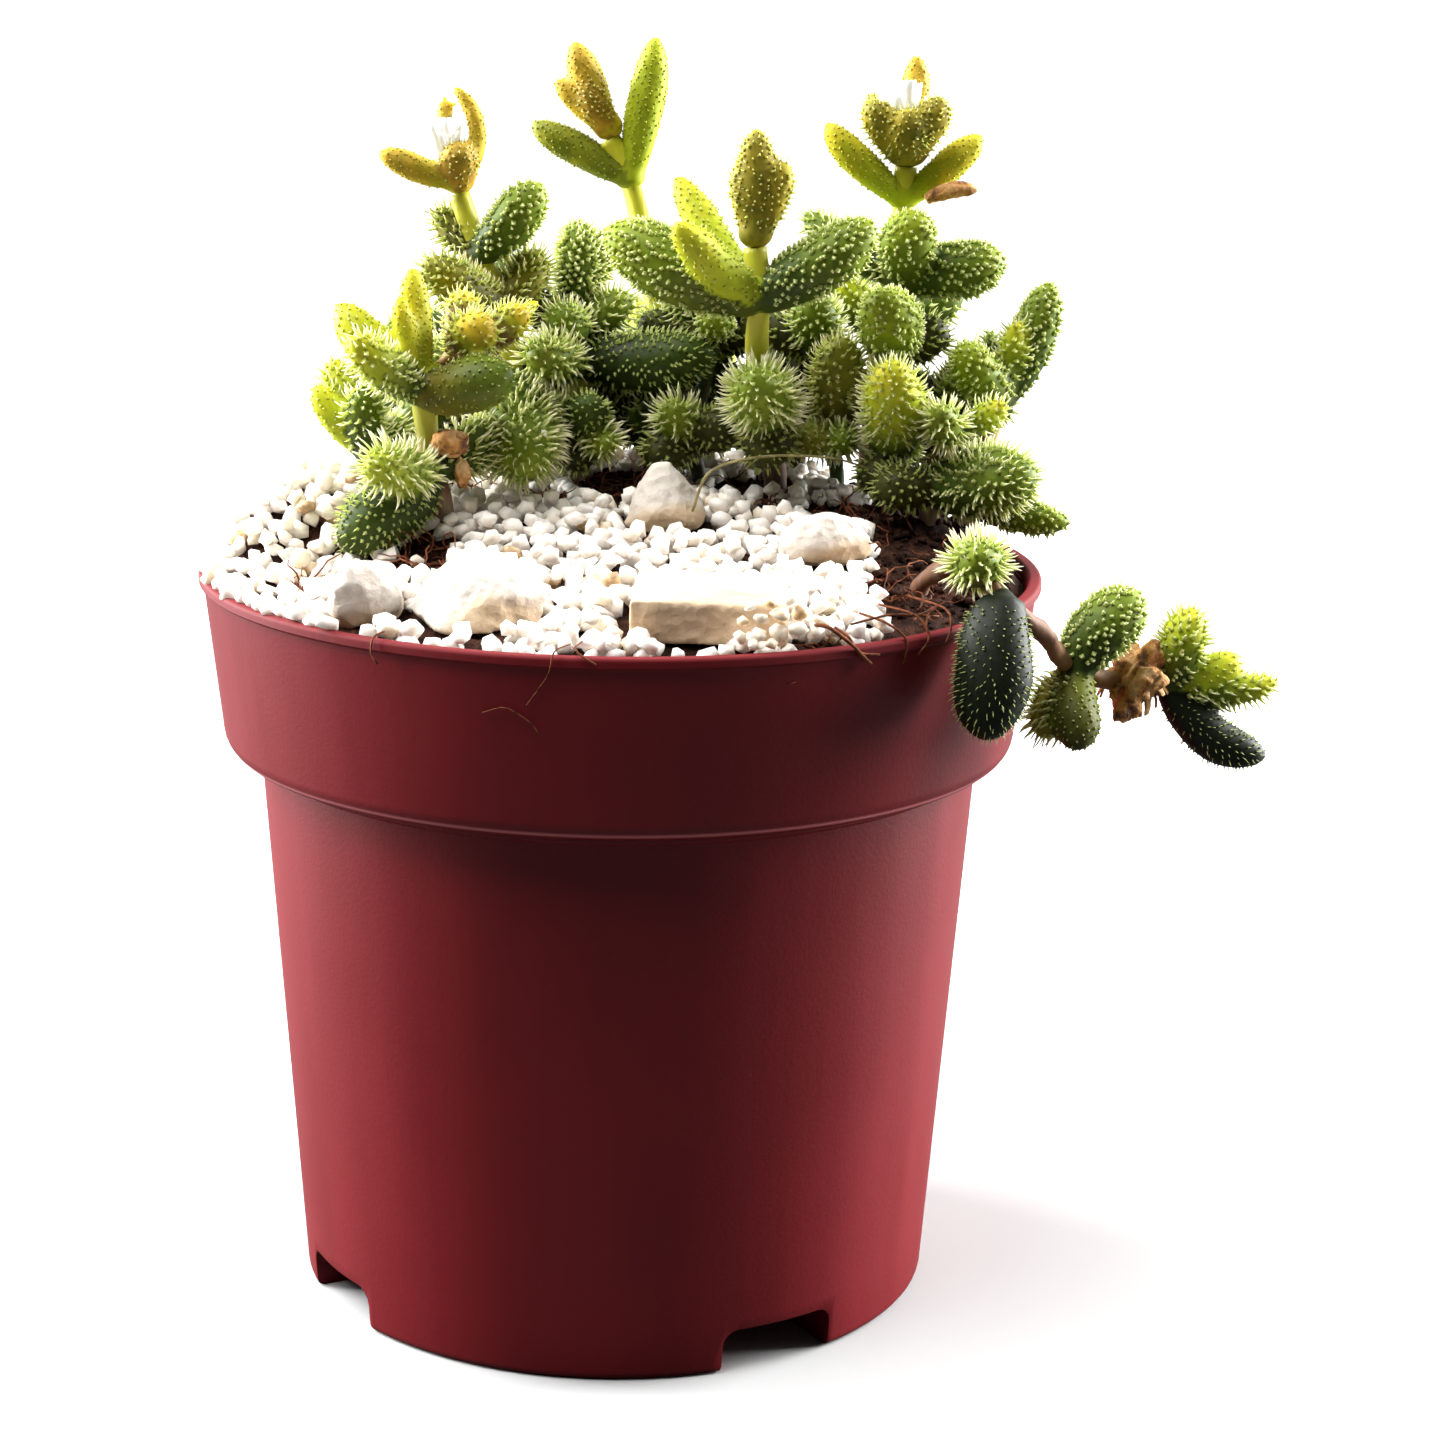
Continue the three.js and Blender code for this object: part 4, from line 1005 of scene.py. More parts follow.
# The whorls: node in mm, stem radius, and the leaves as (turn, rise, length, width, look) with a
# bend where it isn't the usual one. A leaf's turn is from +X towards +Y and its rise is above level.
WHORLS = {
    "left_leaves_1": ((-19, -2, 84.5), 1.15, [
        (-141, -30, 13, 6.8, "dark"), (-116, 11, 12.5, 4.8, "pale_burst"), (44, 22, 9.5, 5.2, "old"),
    ]),
    "left_leaves_2": ((-20, -2, 92), 1.15, [
        (167, 45, 12.5, 4.9, "lime"), (-18, 17, 10, 6, "dusky"), (-133, 35, 11.5, 4.3, "lime_top"),
        (111, 76, 13, 3.4, "young"), (-155, 77, 10.5, 2.7, "young"),
    ]),
    "left_sprig": ((-16.5, 3.5, 95.5), 0.46, [
        (-69, 32, 8, 5, "gold"), (87, 64, 6.8, 3.9, "gold"), (-4, 35, 8.5, 4.2, "gold"),
        (29, 29, 10.5, 2.2, "lime"),
    ]),
    "low_left_shoot": ((-26, 4, 85), 0.9, [
        (-169, 53, 9, 3.3, "lime"), (140, 63, 10.5, 4.4, "lime_top"), (57, 24, 6.5, 4.2, "old"),
        (-89, 62, 8.5, 3.8, "old"),
    ]),
    "left_flower_leaves_1": ((-11.5, 14, 91), 1.1, [
        (-84, -23, 16.5, 8, "snowy"), (165, 15, 12, 5.4, "old"), (100, 15, 9, 5, "back"),
    ]),
    "left_flower_leaves_2": ((-12.5, 14, 98.5), 1.1, [
        (-148, 31, 11, 4.9, "tawny"), (29, 56, 7.5, 4.6, "tawny"), (90, 30, 8, 5, "back"),
    ]),
    "left_flower_leaves_3": ((-15, 15, 104), 1.1, [
        (147, 40, 7.2, 3.5, "tawny"), (-26, 49, 10.5, 5.2, "studded"),
    ]),
    "left_flower_calyx": ((-17.2, 16, 111.46), 0.6, [
        (-173, 21, 9, 3.1, "orange"), (148, 78, 9, 2.3, "orange"), (-10, 96, 11.5, 2.0, "orange", 110),
        (-91, 60, 5, 3.6, "rusty"),
    ]),
    "upright_leaves_1": ((-4.5, 16.5, 86), 1.1, [
        (-110, 21, 12, 3.8, "burst"), (-85, 21, 12.5, 4.6, "dark"), (-75, 1, 12, 3.6, "burst"),
        (-95, -15, 9, 4.6, "shade"), (70, 8, 9, 5, "back"),
    ]),
    "upright_leaves_2": ((-5, 16.5, 93), 1.1, [
        (-14, 6, 15, 6.6, "dark"), (-111, 12, 11.5, 5, "burst"), (105, 32, 6.8, 4.2, "tawny"),
    ]),
    "upright_leaves_3": ((-5.5, 19, 98.5), 1.1, [
        (0, 87, 9, 4.7, "frosted"), (25, 60, 9.5, 3.4, "frosted"),
    ]),
    "tall_leaves_1": ((4, 24, 92), 1.25, [
        (-12, -10, 9, 5.4, "shade"), (110, 25, 12, 5.4, "back"), (-172, 5, 8, 5, "shade"),
        (111, 42, 8.5, 4, "lime_top"),
    ]),
    "tall_leaves_3": ((0.5, 24, 111.5), 1.25, [
        (0, 80, 15, 4.3, "green_leaf", 6), (180, 28, 12, 3.8, "olive", 6),
    ]),
    "tall_calyx": ((-1.9, 24, 116.31), 0.6, [
        (180, 68, 10, 3.9, "orange", 4), (180, 43, 7.9, 2.5, "orange", 8), (-150, 62, 6.2, 3.0, "rusty"),
    ]),
    "low_centre_lower": ((7.5, 15, 86), 0.9, [
        (-109, 23, 9.5, 4.2, "burst"), (-68, 13, 9, 5, "shade"), (-124, -11, 8.5, 5, "shade"),
        (150, 10, 8, 4.8, "back"),
    ]),
    "low_centre_shoot": ((10, 19.5, 97), 0.9, [
        (-96, 8, 8.5, 3.8, "studded"), (80, 25, 7, 5, "back"), (170, 30, 6.5, 4.4, "old"),
    ]),
    "centre_leaves_1": ((15, 9.5, 88.5), 1.2, [
        (-98, 25, 14, 6.4, "snowy"), (-92, -18, 9, 5.4, "shade"), (80, 5, 8, 5, "back"),
    ]),
    "centre_leaves_3": ((13.5, 2, 101.5), 1.2, [
        (176, 23, 17, 7.4, "beaded"), (-10, 35, 14, 6.2, "studded"), (-138, 35, 14.5, 4.4, "lime"),
        (141, 47, 16, 4, "lime"),
    ]),
    "centre_bud": ((13, 2, 107.51), 0.8, [
        (-90, 88, 11, 3.7, "bud", 4), (-10, 70, 8.4, 3.2, "bud"), (170, 78, 8, 3, "bud"),
        (90, 84, 8.6, 3.4, "bud"),
    ]),
    "mid_right_lower": ((21.8, 13.5, 86), 0.9, [
        (-86, 60, 13, 5.5, "tawny"), (-110, 5, 9, 3.6, "tawny"), (-85, 6, 9.5, 3.6, "old"),
        (80, 10, 8, 5, "back"),
    ]),
    "mid_right_shoot": ((20.5, 17, 94.5), 0.9, [
        (-172, 32, 7, 5, "shade"), (-100, 45, 9, 4.8, "old"), (85, 20, 7, 5, "back"),
    ]),
    "right_flower_leaves_1": ((28.3, 8.5, 84.5), 1.15, [
        (-98, 47, 15.5, 6.2, "lime_top"), (-116, -10, 7.4, 4.8, "shade"), (80, 8, 9, 5, "back"),
    ]),
    "right_flower_leaves_2": ((28.5, 12, 95), 1.15, [
        (-104, 35, 12.5, 6.3, "beaded"), (0, 33, 5.8, 5, "shade"), (85, 10, 10, 5.6, "back"),
    ]),
    "right_flower_leaves_3": ((28.5, 12, 102.6), 1.15, [
        (-83, 55, 9, 5.6, "beaded"), (-5, 11, 11, 6.2, "studded", 6), (158, 30, 12.5, 3.9, "old"),
    ]),
    "right_flower_leaves_4": ((28.5, 12, 110.8), 1.15, [
        (-170, 42, 11.5, 3.6, "young"), (0, 40, 10.5, 3.6, "young"),
    ]),
    "right_flower_calyx": ((28.7, 12, 115.19), 0.9, [
        (-150, 50, 7.5, 4, "bud"), (-40, 55, 7.5, 4, "bud"), (60, 80, 10.4, 3.2, "orange"),
        (150, 55, 7.5, 3.6, "bud"), (-95, 48, 6.5, 4, "bud"),
    ]),
    "right_leaves_2": ((39.5, 12, 90), 1.05, [
        (0, 70, 13.5, 4.8, "studded"), (-126, 37, 11, 4.9, "beaded"), (-74, 71, 9.5, 2.8, "lime_top"),
        (114, 66, 7.9, 2.3, "old"), (115, 30, 10, 4.8, "back"), (110, -10, 9, 5.2, "back"),
    ]),
    "front_right_leaves_1": ((31.5, 3.5, 82.5), 1.05, [
        (-37, 13, 12.5, 7.4, "old"), (-135, 8, 8, 5, "shade"), (-10, -13, 15, 4, "studded"),
    ]),
    "front_right_leaves_2": ((33.5, 5, 87.5), 1.05, [
        (-103, 23, 10, 3.6, "burst"), (-29, 33, 7.3, 2.8, "lime_top"),
    ]),
    "trailing_leaves_1": ((33.3, -21.5, 79.3), 0.85, [(-92, 17, 10, 4.8, "snowy")]),
    "trailing_leaves_2": ((35.4, -29, 77.6), 0.85, [(-109, -72, 13.5, 7.2, "hanging", -30)]),
    "trailing_leaves_4": ((43.3, -21.5, 69.2), 0.85, [
        (13, 46, 10, 6.2, "studded", -30), (-144, -55, 7.4, 4.5, "tawny"), (-88, -51, 8.5, 4.8, "dull"),
    ]),
    "trailing_leaves_6": ((53.7, -16, 66.1), 0.85, [
        (0, 74, 8.5, 4.6, "lime_top", -14), (8, 23, 8, 3.8, "lime"), (0, 5, 11, 3, "lime_top", 30),
        (-6, -33, 12.4, 4.7, "hanging", 60),
    ]),
    # The inner whorls are extra leaves in the shade look, painted shade that fills the middle of the plant.
    "inner_left": ((-8, 26, 85.5), 0.9, [
        (-95, 10, 9, 5.4, "shade"), (-40, 20, 9, 5.4, "shade"), (-150, 15, 9, 5.4, "shade"),
        (-70, 55, 9, 5, "shade"), (60, 30, 8, 5, "shade"),
    ]),
    "inner_middle": ((2.5, 27, 86), 0.9, [
        (-100, 0, 9, 5.6, "shade"), (-50, 15, 9.5, 5.6, "shade"), (-145, 20, 9, 5.4, "shade"),
        (-85, 50, 10, 5.2, "shade"), (90, 30, 8, 5, "shade"),
    ]),
    "inner_right": ((15, 25, 85.5), 0.9, [
        (-110, 5, 9, 5.6, "shade"), (-55, 10, 9, 5.4, "shade"), (-160, 25, 9, 5.2, "shade"),
        (-80, 55, 10, 5.2, "shade"), (20, 30, 8, 5, "shade"),
    ]),
    "inner_high": ((9, 24, 94), 0.9, [
        (-150, 20, 9, 5, "shade"), (-95, 25, 8, 5, "shade"), (-20, 25, 9, 5, "shade"),
        (90, 40, 8, 5, "shade"),
    ]),
    "inner_upright": ((-5.3, 18, 95.5), 0.9, [
        (-100, 25, 7.5, 4.6, "old"), (-160, 40, 7, 4.4, "shade"), (0, 38, 7.5, 4.2, "burst"),
        (100, 40, 7, 4.4, "shade"),
    ]),
    "inner_gap": ((18.9, 24, 89.5), 0.9, [
        (0, 80, 6.5, 5, "shade"), (-60, 40, 6, 4.6, "shade"), (180, 30, 6, 4.6, "shade"),
    ]),
    "inner_side": ((33.8, 18, 88), 0.9, [
        (10, 62, 7, 4.6, "shade"), (-60, 40, 6, 4.4, "old"), (160, 40, 6, 4.4, "shade"),
    ]),
    "inner_edge": ((33, 17, 85), 0.9, [
        (-130, 15, 9, 5.2, "shade"), (-80, 10, 9, 5, "shade"), (-20, 45, 8, 4.6, "shade"),
        (90, 30, 8, 5, "shade"),
    ]),
    "back_left_leaves_1": ((-20, 23, 86), 1, [
        (175, 5, 10, 5.6, "back"), (85, 10, 11, 5.6, "back"), (-105, 12, 9, 5, "back"),
        (0, 8, 8, 5, "back"),
    ]),
    "back_left_leaves_2": ((-19, 23.5, 92), 1, [
        (120, 30, 10, 5.2, "back"), (-165, 25, 8, 4.8, "back"), (30, 45, 9, 4.8, "lime_top"),
    ]),
    "back_centre_leaves_1": ((11, 33, 86), 1, [
        (-165, 5, 12, 5.6, "back"), (65, 8, 10, 5.6, "back"), (-35, 8, 10, 5.2, "back"),
    ]),
    "back_centre_leaves_2": ((11.5, 32, 94), 1, [
        (95, 35, 11, 5.4, "back"), (-150, 38, 11, 5, "lime_top"), (-10, 50, 10, 5, "back"),
    ]),
    "back_right_leaves_1": ((27, 26, 87), 1, [
        (55, 5, 10, 5.6, "back"), (150, 12, 8, 5.2, "back"), (-30, 6, 10, 5.2, "back"),
    ]),
    "back_right_leaves_2": ((27.5, 25.5, 95), 1, [
        (95, 40, 11, 5.2, "back"), (-5, 32, 10.5, 5.2, "back"), (-165, 55, 9, 4.6, "lime_top"),
    ]),
}
# The cup under each flower and the bud: base, radius and height in mm.
CUPS = {
    "left_flower_calyx": ((-17.2, 16, 110.2), 1.9, 4.4),
    "tall_calyx": ((-1.9, 24, 115.4), 1.7, 2.8),
    "right_flower_calyx": ((28.7, 12, 114), 2.4, 3.4),
    "centre_bud": ((13, 2, 106.6), 1.9, 2.8),
}
LEAF_BEND = 18
LEAF_FLATNESS = 0.92
LEAF_FULLNESS = 1.02
WIDEST_SHARE = 0.55
SKIN_VOXEL = 0.55
COLLAR_PROUD = 0.45
BARE_FOOT_SHARE = 0.1
STUD_REACH = 0.3
GOLDEN_ANGLE = math.pi * (3 - math.sqrt(5))
BEAD_SIDES = 4
# Rings of a bead and its bristle: radius in bead radii, height in bead radii, height as a share of
# the bristle, and the mark that the finish reads. The bristle's tip has the mark 1.
STUD_RINGS = [(1.12, -0.25, 0.0, 0.0), (0.90, 0.45, 0.0, 0.3), (0.44, 0.8, 0.10, 0.5), (0.35, 0.8, 0.6, 0.85)]
STUD_MARKS = [mark for _, _, _, mark in STUD_RINGS for _ in range(BEAD_SIDES)] + [1.0]


def leaf_girth(t):
    """A leaf's half width at a share of its length, as a share of the greatest half width."""
    t = np.clip(t, 0, 1)
    rear = 1 - 0.42 * (1 - t / WIDEST_SHARE) ** 2
    front = np.clip(1 - np.clip((t - WIDEST_SHARE) / (1 - WIDEST_SHARE), 0, 1) ** 2.3, 0, 1) ** 0.62
    return np.where(t < WIDEST_SHARE, rear, front)


def from_foot(pair, t):
    """A value that goes softly from the first of a pair at a leaf's foot to the second at its tip."""
    return pair[0] + (pair[1] - pair[0]) * eased(t)


class Leaf:
    """One leaf blade: places on its skin come from a share of its length and an angle round it."""

    def __init__(self, node, turn, rise, length, width, look, bend=LEAF_BEND):
        self.node = np.array(node, float)
        self.length = length
        self.half = width / 2 * LEAF_FULLNESS
        self.curve = math.radians(bend) / length
        self.look = LOOKS[look]
        lift = -math.radians(rise - bend / 2)
        spin = math.radians(turn)
        rising, out = math.sin(lift), math.cos(lift)
        side, ahead = math.sin(spin), math.cos(spin)
        tilt = np.array([[out, 0, rising], [0, 1, 0], [-rising, 0, out]])
        swing = np.array([[ahead, -side, 0], [side, ahead, 0], [0, 0, 1]])
        self.turn = swing @ tilt
        self.wobble = rng.random(3) * 6.28

    def skin(self, t, angle):
        bumps = 1 + 0.05 * np.sin(3.1 * t * 3 + self.wobble[0]) * np.sin(angle + self.wobble[1])
        radius = self.half * leaf_girth(t) * bumps
        side = radius * np.cos(angle)
        up = radius * np.sin(angle) * LEAF_FLATNESS
        along = t * self.length * self.curve
        forward = np.sin(along) / self.curve - up * np.sin(along)
        height = (1 - np.cos(along)) / self.curve + up * np.cos(along)
        return np.stack([forward, side, height], -1) @ self.turn.T + self.node

    def blade(self, ball):
        """The skin as verts and faces, and each vertex's share of the length."""
        verts, faces = ball
        t = (1 + verts[:, 2]) / 2
        return self.skin(t, np.arctan2(verts[:, 1], verts[:, 0])), faces, t

    def beads(self):
        """Shares of length and angles of the beads: a spiral with even spacing."""
        steps = np.linspace(0, 1, 200)
        half = leaf_girth(steps) * self.half
        slope = np.gradient(half, steps * self.length)
        ring = half * FULL_TURN
        area = np.cumsum(ring * np.sqrt(1 + np.clip(slope, -3, 3) ** 2)) * self.length / len(steps)
        count = int(area[-1] * 1.1 / self.look.spacing**2)
        share = (np.arange(count) + 0.5 + 0.3 * (rng.random(count) - 0.5)) / count
        t = np.interp(share * area[-1], area, steps)
        angle = np.arange(count) * GOLDEN_ANGLE + self.wobble[2] + 0.12 * rng.normal(size=count)
        return t, angle


def ball_shape():
    """The plain round start of every blade."""
    bpy.ops.mesh.primitive_uv_sphere_add(segments=20, ring_count=18, radius=1)
    return taken(bpy.context.object)


def blob(middle=(0, 0, 0), radius=1):
    """A slightly flattened ball, in mm."""
    bpy.ops.mesh.primitive_uv_sphere_add(segments=16, ring_count=10, radius=1)
    verts, faces = taken(bpy.context.object)
    return verts * (radius, radius, radius * 0.9) + middle, faces


def collar_of(name):
    """What joins a whorl's leaves: a cup under a flower or a bud, and a small ball elsewhere."""
    if name not in CUPS:
        node, stem_radius, _ = WHORLS[name]
        return blob(node, stem_radius + COLLAR_PROUD)
    (x, y, z), radius, height = CUPS[name]
    verts, faces = blob()
    return verts * (radius, radius, height * 0.62) + (x, y, z + height * 0.5), faces


def fused(parts, name, voxel):
    """Solids grown together: one skin with soft joints, in mm."""
    blank = mesh_object(name, *stacked(parts))
    apply_modifier(blank, "fuse", "REMESH", mode="VOXEL", voxel_size=voxel * MM)
    apply_modifier(blank, "smooth", "SMOOTH", factor=0.5, iterations=3)
    verts, faces = taken(blank)
    return verts / MM, faces


def stud_faces(count):
    """The faces of a number of studs, whose vertices are rings from the foot up and a tip."""
    per = len(STUD_MARKS)
    last = per - 1 - BEAD_SIDES
    faces = []
    for start in range(0, last, BEAD_SIDES):
        for k in range(BEAD_SIDES):
            a, b = start + k, start + (k + 1) % BEAD_SIDES
            faces.append((a, b, b + BEAD_SIDES, a + BEAD_SIDES))
    for k in range(BEAD_SIDES):
        faces.append((last + k, last + (k + 1) % BEAD_SIDES, per - 1))
    faces.append(tuple(range(BEAD_SIDES - 1, -1, -1)))
    return [tuple(i + per * s for i in face) for s in range(count) for face in faces]


def studs(roots, normals, ahead, sizes, lengths):
    """Beads with a curved bristle each, as verts and faces."""
    count = len(roots)
    across = np.cross(normals, ahead)
    across /= np.linalg.norm(across, axis=1)[:, None]
    ahead = np.cross(across, normals)
    lean = 0.25 + 0.35 * rng.random(count)
    sway = 0.35 * (rng.random(count) - 0.5)
    spin = rng.random(count) * 6.28

    def middle(height, bend):
        up = normals * height[:, None]
        return roots + up + ahead * (bend * lean)[:, None] + across * (bend * sway)[:, None]

    rings = []
    for share, lift, reach, _ in STUD_RINGS:
        centre = middle(lift * sizes + reach * lengths, lengths * reach**2)
        for k in range(BEAD_SIDES):
            angle = spin + k * FULL_TURN / BEAD_SIDES
            outwards = ahead * np.cos(angle)[:, None] + across * np.sin(angle)[:, None]
            rings.append(centre + outwards * (share * sizes)[:, None])
    tip = middle(0.8 * sizes + lengths, lengths)
    return np.stack([*rings, tip], 1).reshape(-1, 3), stud_faces(count)


def studs_of(leaf, surface):
    """A leaf's studs on the fused skin: verts, faces, ripeness, dryness and marks, or None."""
    t, angle = leaf.beads()
    places = leaf.skin(t, angle)
    further = leaf.skin(np.minimum(t + 0.03, 0.995), angle)
    keep, roots, normals = [], [], []
    for index, place in enumerate(places):
        under = -math.sin(angle[index])
        if t[index] < BARE_FOOT_SHARE or (under > 0.2 and rng.random() < 0.55 * under * (1.1 - t[index])):
            continue
        spot, normal, _, distance = surface.find_nearest(Vector(place))
        if distance > STUD_REACH:
            continue
        keep.append(index)
        roots.append(spot)
        normals.append(normal)
    if not keep:
        return None
    look, count = leaf.look, len(keep)
    ahead = further[keep] - places[keep] + leaf.turn[:, 0] * 1e-3
    t = t[keep]
    grow = 0.55 + 0.45 * np.clip(t * 2.2, 0, 1)
    sizes = look.bead * (0.8 + 0.4 * rng.random(count)) * (1 - 0.25 * (t > 0.9))
    lengths = look.bristle * grow * (0.65 + 0.6 * rng.random(count))
    verts, faces = studs(np.array(roots), np.array(normals), ahead, sizes, lengths)
    ripe, dry = (np.repeat(from_foot(pair, t), len(STUD_MARKS)) for pair in (look.ripeness, look.dryness))
    return verts, faces, ripe, dry, np.tile(STUD_MARKS, count) * look.paleness


def nearest_marks(verts, marks):
    """Ripeness and dryness at each vertex, from the nearest of (place, ripeness, dryness) marks."""
    tree = KDTree(len(marks))
    for index, (place, _, _) in enumerate(marks):
        tree.insert(place, index)
    tree.balance()
    nearest = [tree.find(v)[1] for v in verts]
    return [marks[i][1] for i in nearest], [marks[i][2] for i in nearest]


def make_whorl(names, target, ball, finish, extra=()):
    """Leaves of one CAD node as one piece: fused blades, beads and bristles."""
    solids, marks, leaves = [], [], []
    for name in names:
        node, _, rows = WHORLS[name]
        collar = collar_of(name)
        solids.append(collar)
        first = LOOKS[rows[0][4]]
        marks.extend((v, first.ripeness[0], first.dryness[0]) for v in collar[0][::4])
        for row in rows:
            leaf = Leaf(node, *row)
            leaves.append(leaf)
            verts, faces, t = leaf.blade(ball)
            solids.append((verts, faces))
            marks.extend(zip(verts, from_foot(leaf.look.ripeness, t), from_foot(leaf.look.dryness, t)))
    verts, faces = fused([*solids, *extra], target + "_skin", SKIN_VOXEL)
    surface = BVHTree.FromPolygons([Vector(v) for v in verts], faces)
    made = [(verts, faces, *nearest_marks(verts, marks), np.zeros(len(verts)))]
    made += [part for part in (studs_of(leaf, surface) for leaf in leaves) if part]
    ripe, dry, rise = (np.concatenate([part[k] for part in made]) for k in (2, 3, 4))
    verts, faces = stacked([part[:2] for part in made])
    piece = new_piece(target + "_bristly", verts, faces, finish, ripeness=ripe, dryness=dry, bristle=rise)
    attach(piece, "root")
    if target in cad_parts:
        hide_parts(target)


# Stems

# Stems from the roots up: (points in mm, radius).
STEMS = {
    "left_stem": ([(-18, -2, 75), (-18, -2, 80), (-19, -2, 84.5), (-20, -2, 92)], 1.15),
    "left_flower_stem": ([
        (-10, 14, 77), (-10, 14, 82), (-11.5, 14, 91), (-12.5, 14, 98.5), (-15, 15, 104),
        (-17.2, 16, 110.2),
    ], 1.1),
    "upright_stem": ([
        (-5, 17, 76), (-5, 17, 81), (-4.5, 16.5, 86), (-5, 16.5, 93), (-5.5, 19, 98.5),
    ], 1.1),
    "tall_stem": ([
        (3.5, 24, 76), (3.5, 24, 81), (4, 24, 92), (2.5, 24, 103), (0.5, 24, 111.5), (-1.9, 24, 115.4),
    ], 1.25),
    "centre_stem": ([
        (16, 12, 76), (16, 12, 81), (15, 9.5, 88.5), (13.5, 4, 96), (13.5, 2, 101.5), (13, 2, 106.6),
    ], 1.2),
    "right_flower_stem": ([
        (28.5, 8, 75.5), (28.5, 8, 80.5), (28.3, 8.5, 84.5), (28.5, 12, 95), (28.5, 12, 102.6),
        (28.5, 12, 110.8), (28.7, 12, 114),
    ], 1.15),
    "right_stem": ([(36, 9, 72.5), (36, 9, 77.5), (37.5, 12, 84), (39.5, 12, 90)], 1.05),
    "front_right_stem": ([(31.5, 3, 74), (31.5, 3, 79), (31.5, 3.5, 82.5), (33.5, 5, 87.5)], 1.05),
    "trailing_stem": ([
        (29, -17, 71.5), (29, -17, 76.5), (33.3, -21.5, 79.3), (35.4, -29, 77.6), (39.6, -27, 74),
        (43.3, -21.5, 69.2), (48.5, -18, 67.2), (53.7, -16, 66.1),
    ], 0.85),
    "back_left_stem": ([(-19.5, 22, 75.5), (-19.5, 22, 80.5), (-20, 23, 86), (-19, 23.5, 92)], 1),
    "back_centre_stem": ([(10, 32, 74), (10, 32, 79), (11, 33, 86), (11.5, 32, 94)], 1),
    "back_right_stem": ([(26.5, 25, 74.5), (26.5, 25, 79.5), (27, 26, 87), (27.5, 25.5, 95)], 1),
    "low_left_shoot": ([(-26, 4, 76), (-26, 4, 81), (-26, 4, 85)], 0.9),
    "low_centre_shoot": ([(8, 14, 76.5), (8, 14, 81.5), (7.5, 15, 86), (10, 19.5, 97)], 0.9),
    "mid_right_shoot": ([
        (22.5, 12.5, 76.5), (22.5, 12.5, 81.5), (21.8, 13.5, 86), (20.5, 17, 94.5),
    ], 0.9),
    "left_fork": ([(-20, -2, 92), (-18.5, 1, 94), (-16.5, 3.5, 95.5)], 0.92),
}
STEM_SIDES = 12


def smooth_path(points, spacing=0.6):
    """Points along a smooth curve through the given ones, about evenly spaced."""
    points = [Vector(p) for p in points]
    ends = [points[0] * 2 - points[1], *points, points[-1] * 2 - points[-2]]
    path = []
    for i in range(1, len(ends) - 2):
        before, start, end, after = ends[i - 1 : i + 3]
        count = max(2, round((end - start).length / spacing))
        for k in range(count):
            u = k / count
            path.append(
                0.5 * (2 * start + (end - before) * u + (2 * before - 5 * start + 4 * end - after) * u * u
                       + (3 * start - before - 3 * end + after) * u**3)
            )
    return [*path, points[-1]]


def tube(path, radius_at, sides=STEM_SIDES):
    """A tube along a path. radius_at(share, angle) gives its radius there."""
    verts = []
    side = (path[1] - path[0]).normalized().orthogonal().normalized()
    final = len(path) - 1
    for index, point in enumerate(path):
        ahead = (path[min(index + 1, final)] - path[max(index - 1, 0)]).normalized()
        side = (side - ahead * side.dot(ahead)).normalized()
        up = ahead.cross(side)
        for k in range(sides):
            angle = k * FULL_TURN / sides
            outwards = side * math.cos(angle) + up * math.sin(angle)
            verts.append(point + outwards * radius_at(index / final, angle))
    faces = []
    for low in range(0, final * sides, sides):
        for k in range(sides):
            turn = (k + 1) % sides
            faces.append((low + k, low + turn, low + sides + turn, low + sides + k))
    faces.append(tuple(range(sides - 1, -1, -1)))
    faces.append(tuple(final * sides + k for k in range(sides)))
    return np.array([tuple(v) for v in verts]), faces


def make_stem(name, finish):
    points, radius = STEMS[name]
    wobble = rng.random(2) * 6.28
    creeping = name == "trailing_stem"

    def radius_at(share, angle):
        ribs = 1 + 0.05 * math.cos(4 * angle + wobble[0]) + 0.04 * math.sin(share * 26 + wobble[1])
        if creeping:
            ribs += 0.16 * math.sin(share * 90) * math.sin(angle * 2 + share * 30)
        return radius * ribs

    verts, faces = tube(smooth_path(points), radius_at)
    if creeping:
        shares = np.arange(len(verts)) / len(verts)
        age = np.interp(shares, [0, 0.55, 0.7, 1], [0.80, 0.78, 0.6, 0.66])
    else:
        age = np.interp(verts[:, 2], [78, 84, 90, 120], [1.0, 0.72, 0.25, 0.0])
    stem = new_piece(name + "_skin", verts, faces, finish, age=age)
    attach(stem, "root")
    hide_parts(name)


# Flowers

# Rows of petals from the outside in: count, rise as a share of the spread, and relative length.
PETAL_ROWS = ((13, 1, 1.0), (11, 0.5, 0.95), (9, 0, 0.9))
INNER_PETAL_RISE = 88
PETAL_WIDTH = 1.7
PETAL_STEPS = 7
# The tufts: foot in mm, length of the petals in mm, and spread in degrees.
PETAL_TUFTS = {
    "left_flower_petals": ((-18.6, 15.4, 111.8), 6.4, 10),
    "right_flower_petals": ((28.2, 11.6, 115.6), 7.2, 16),
}


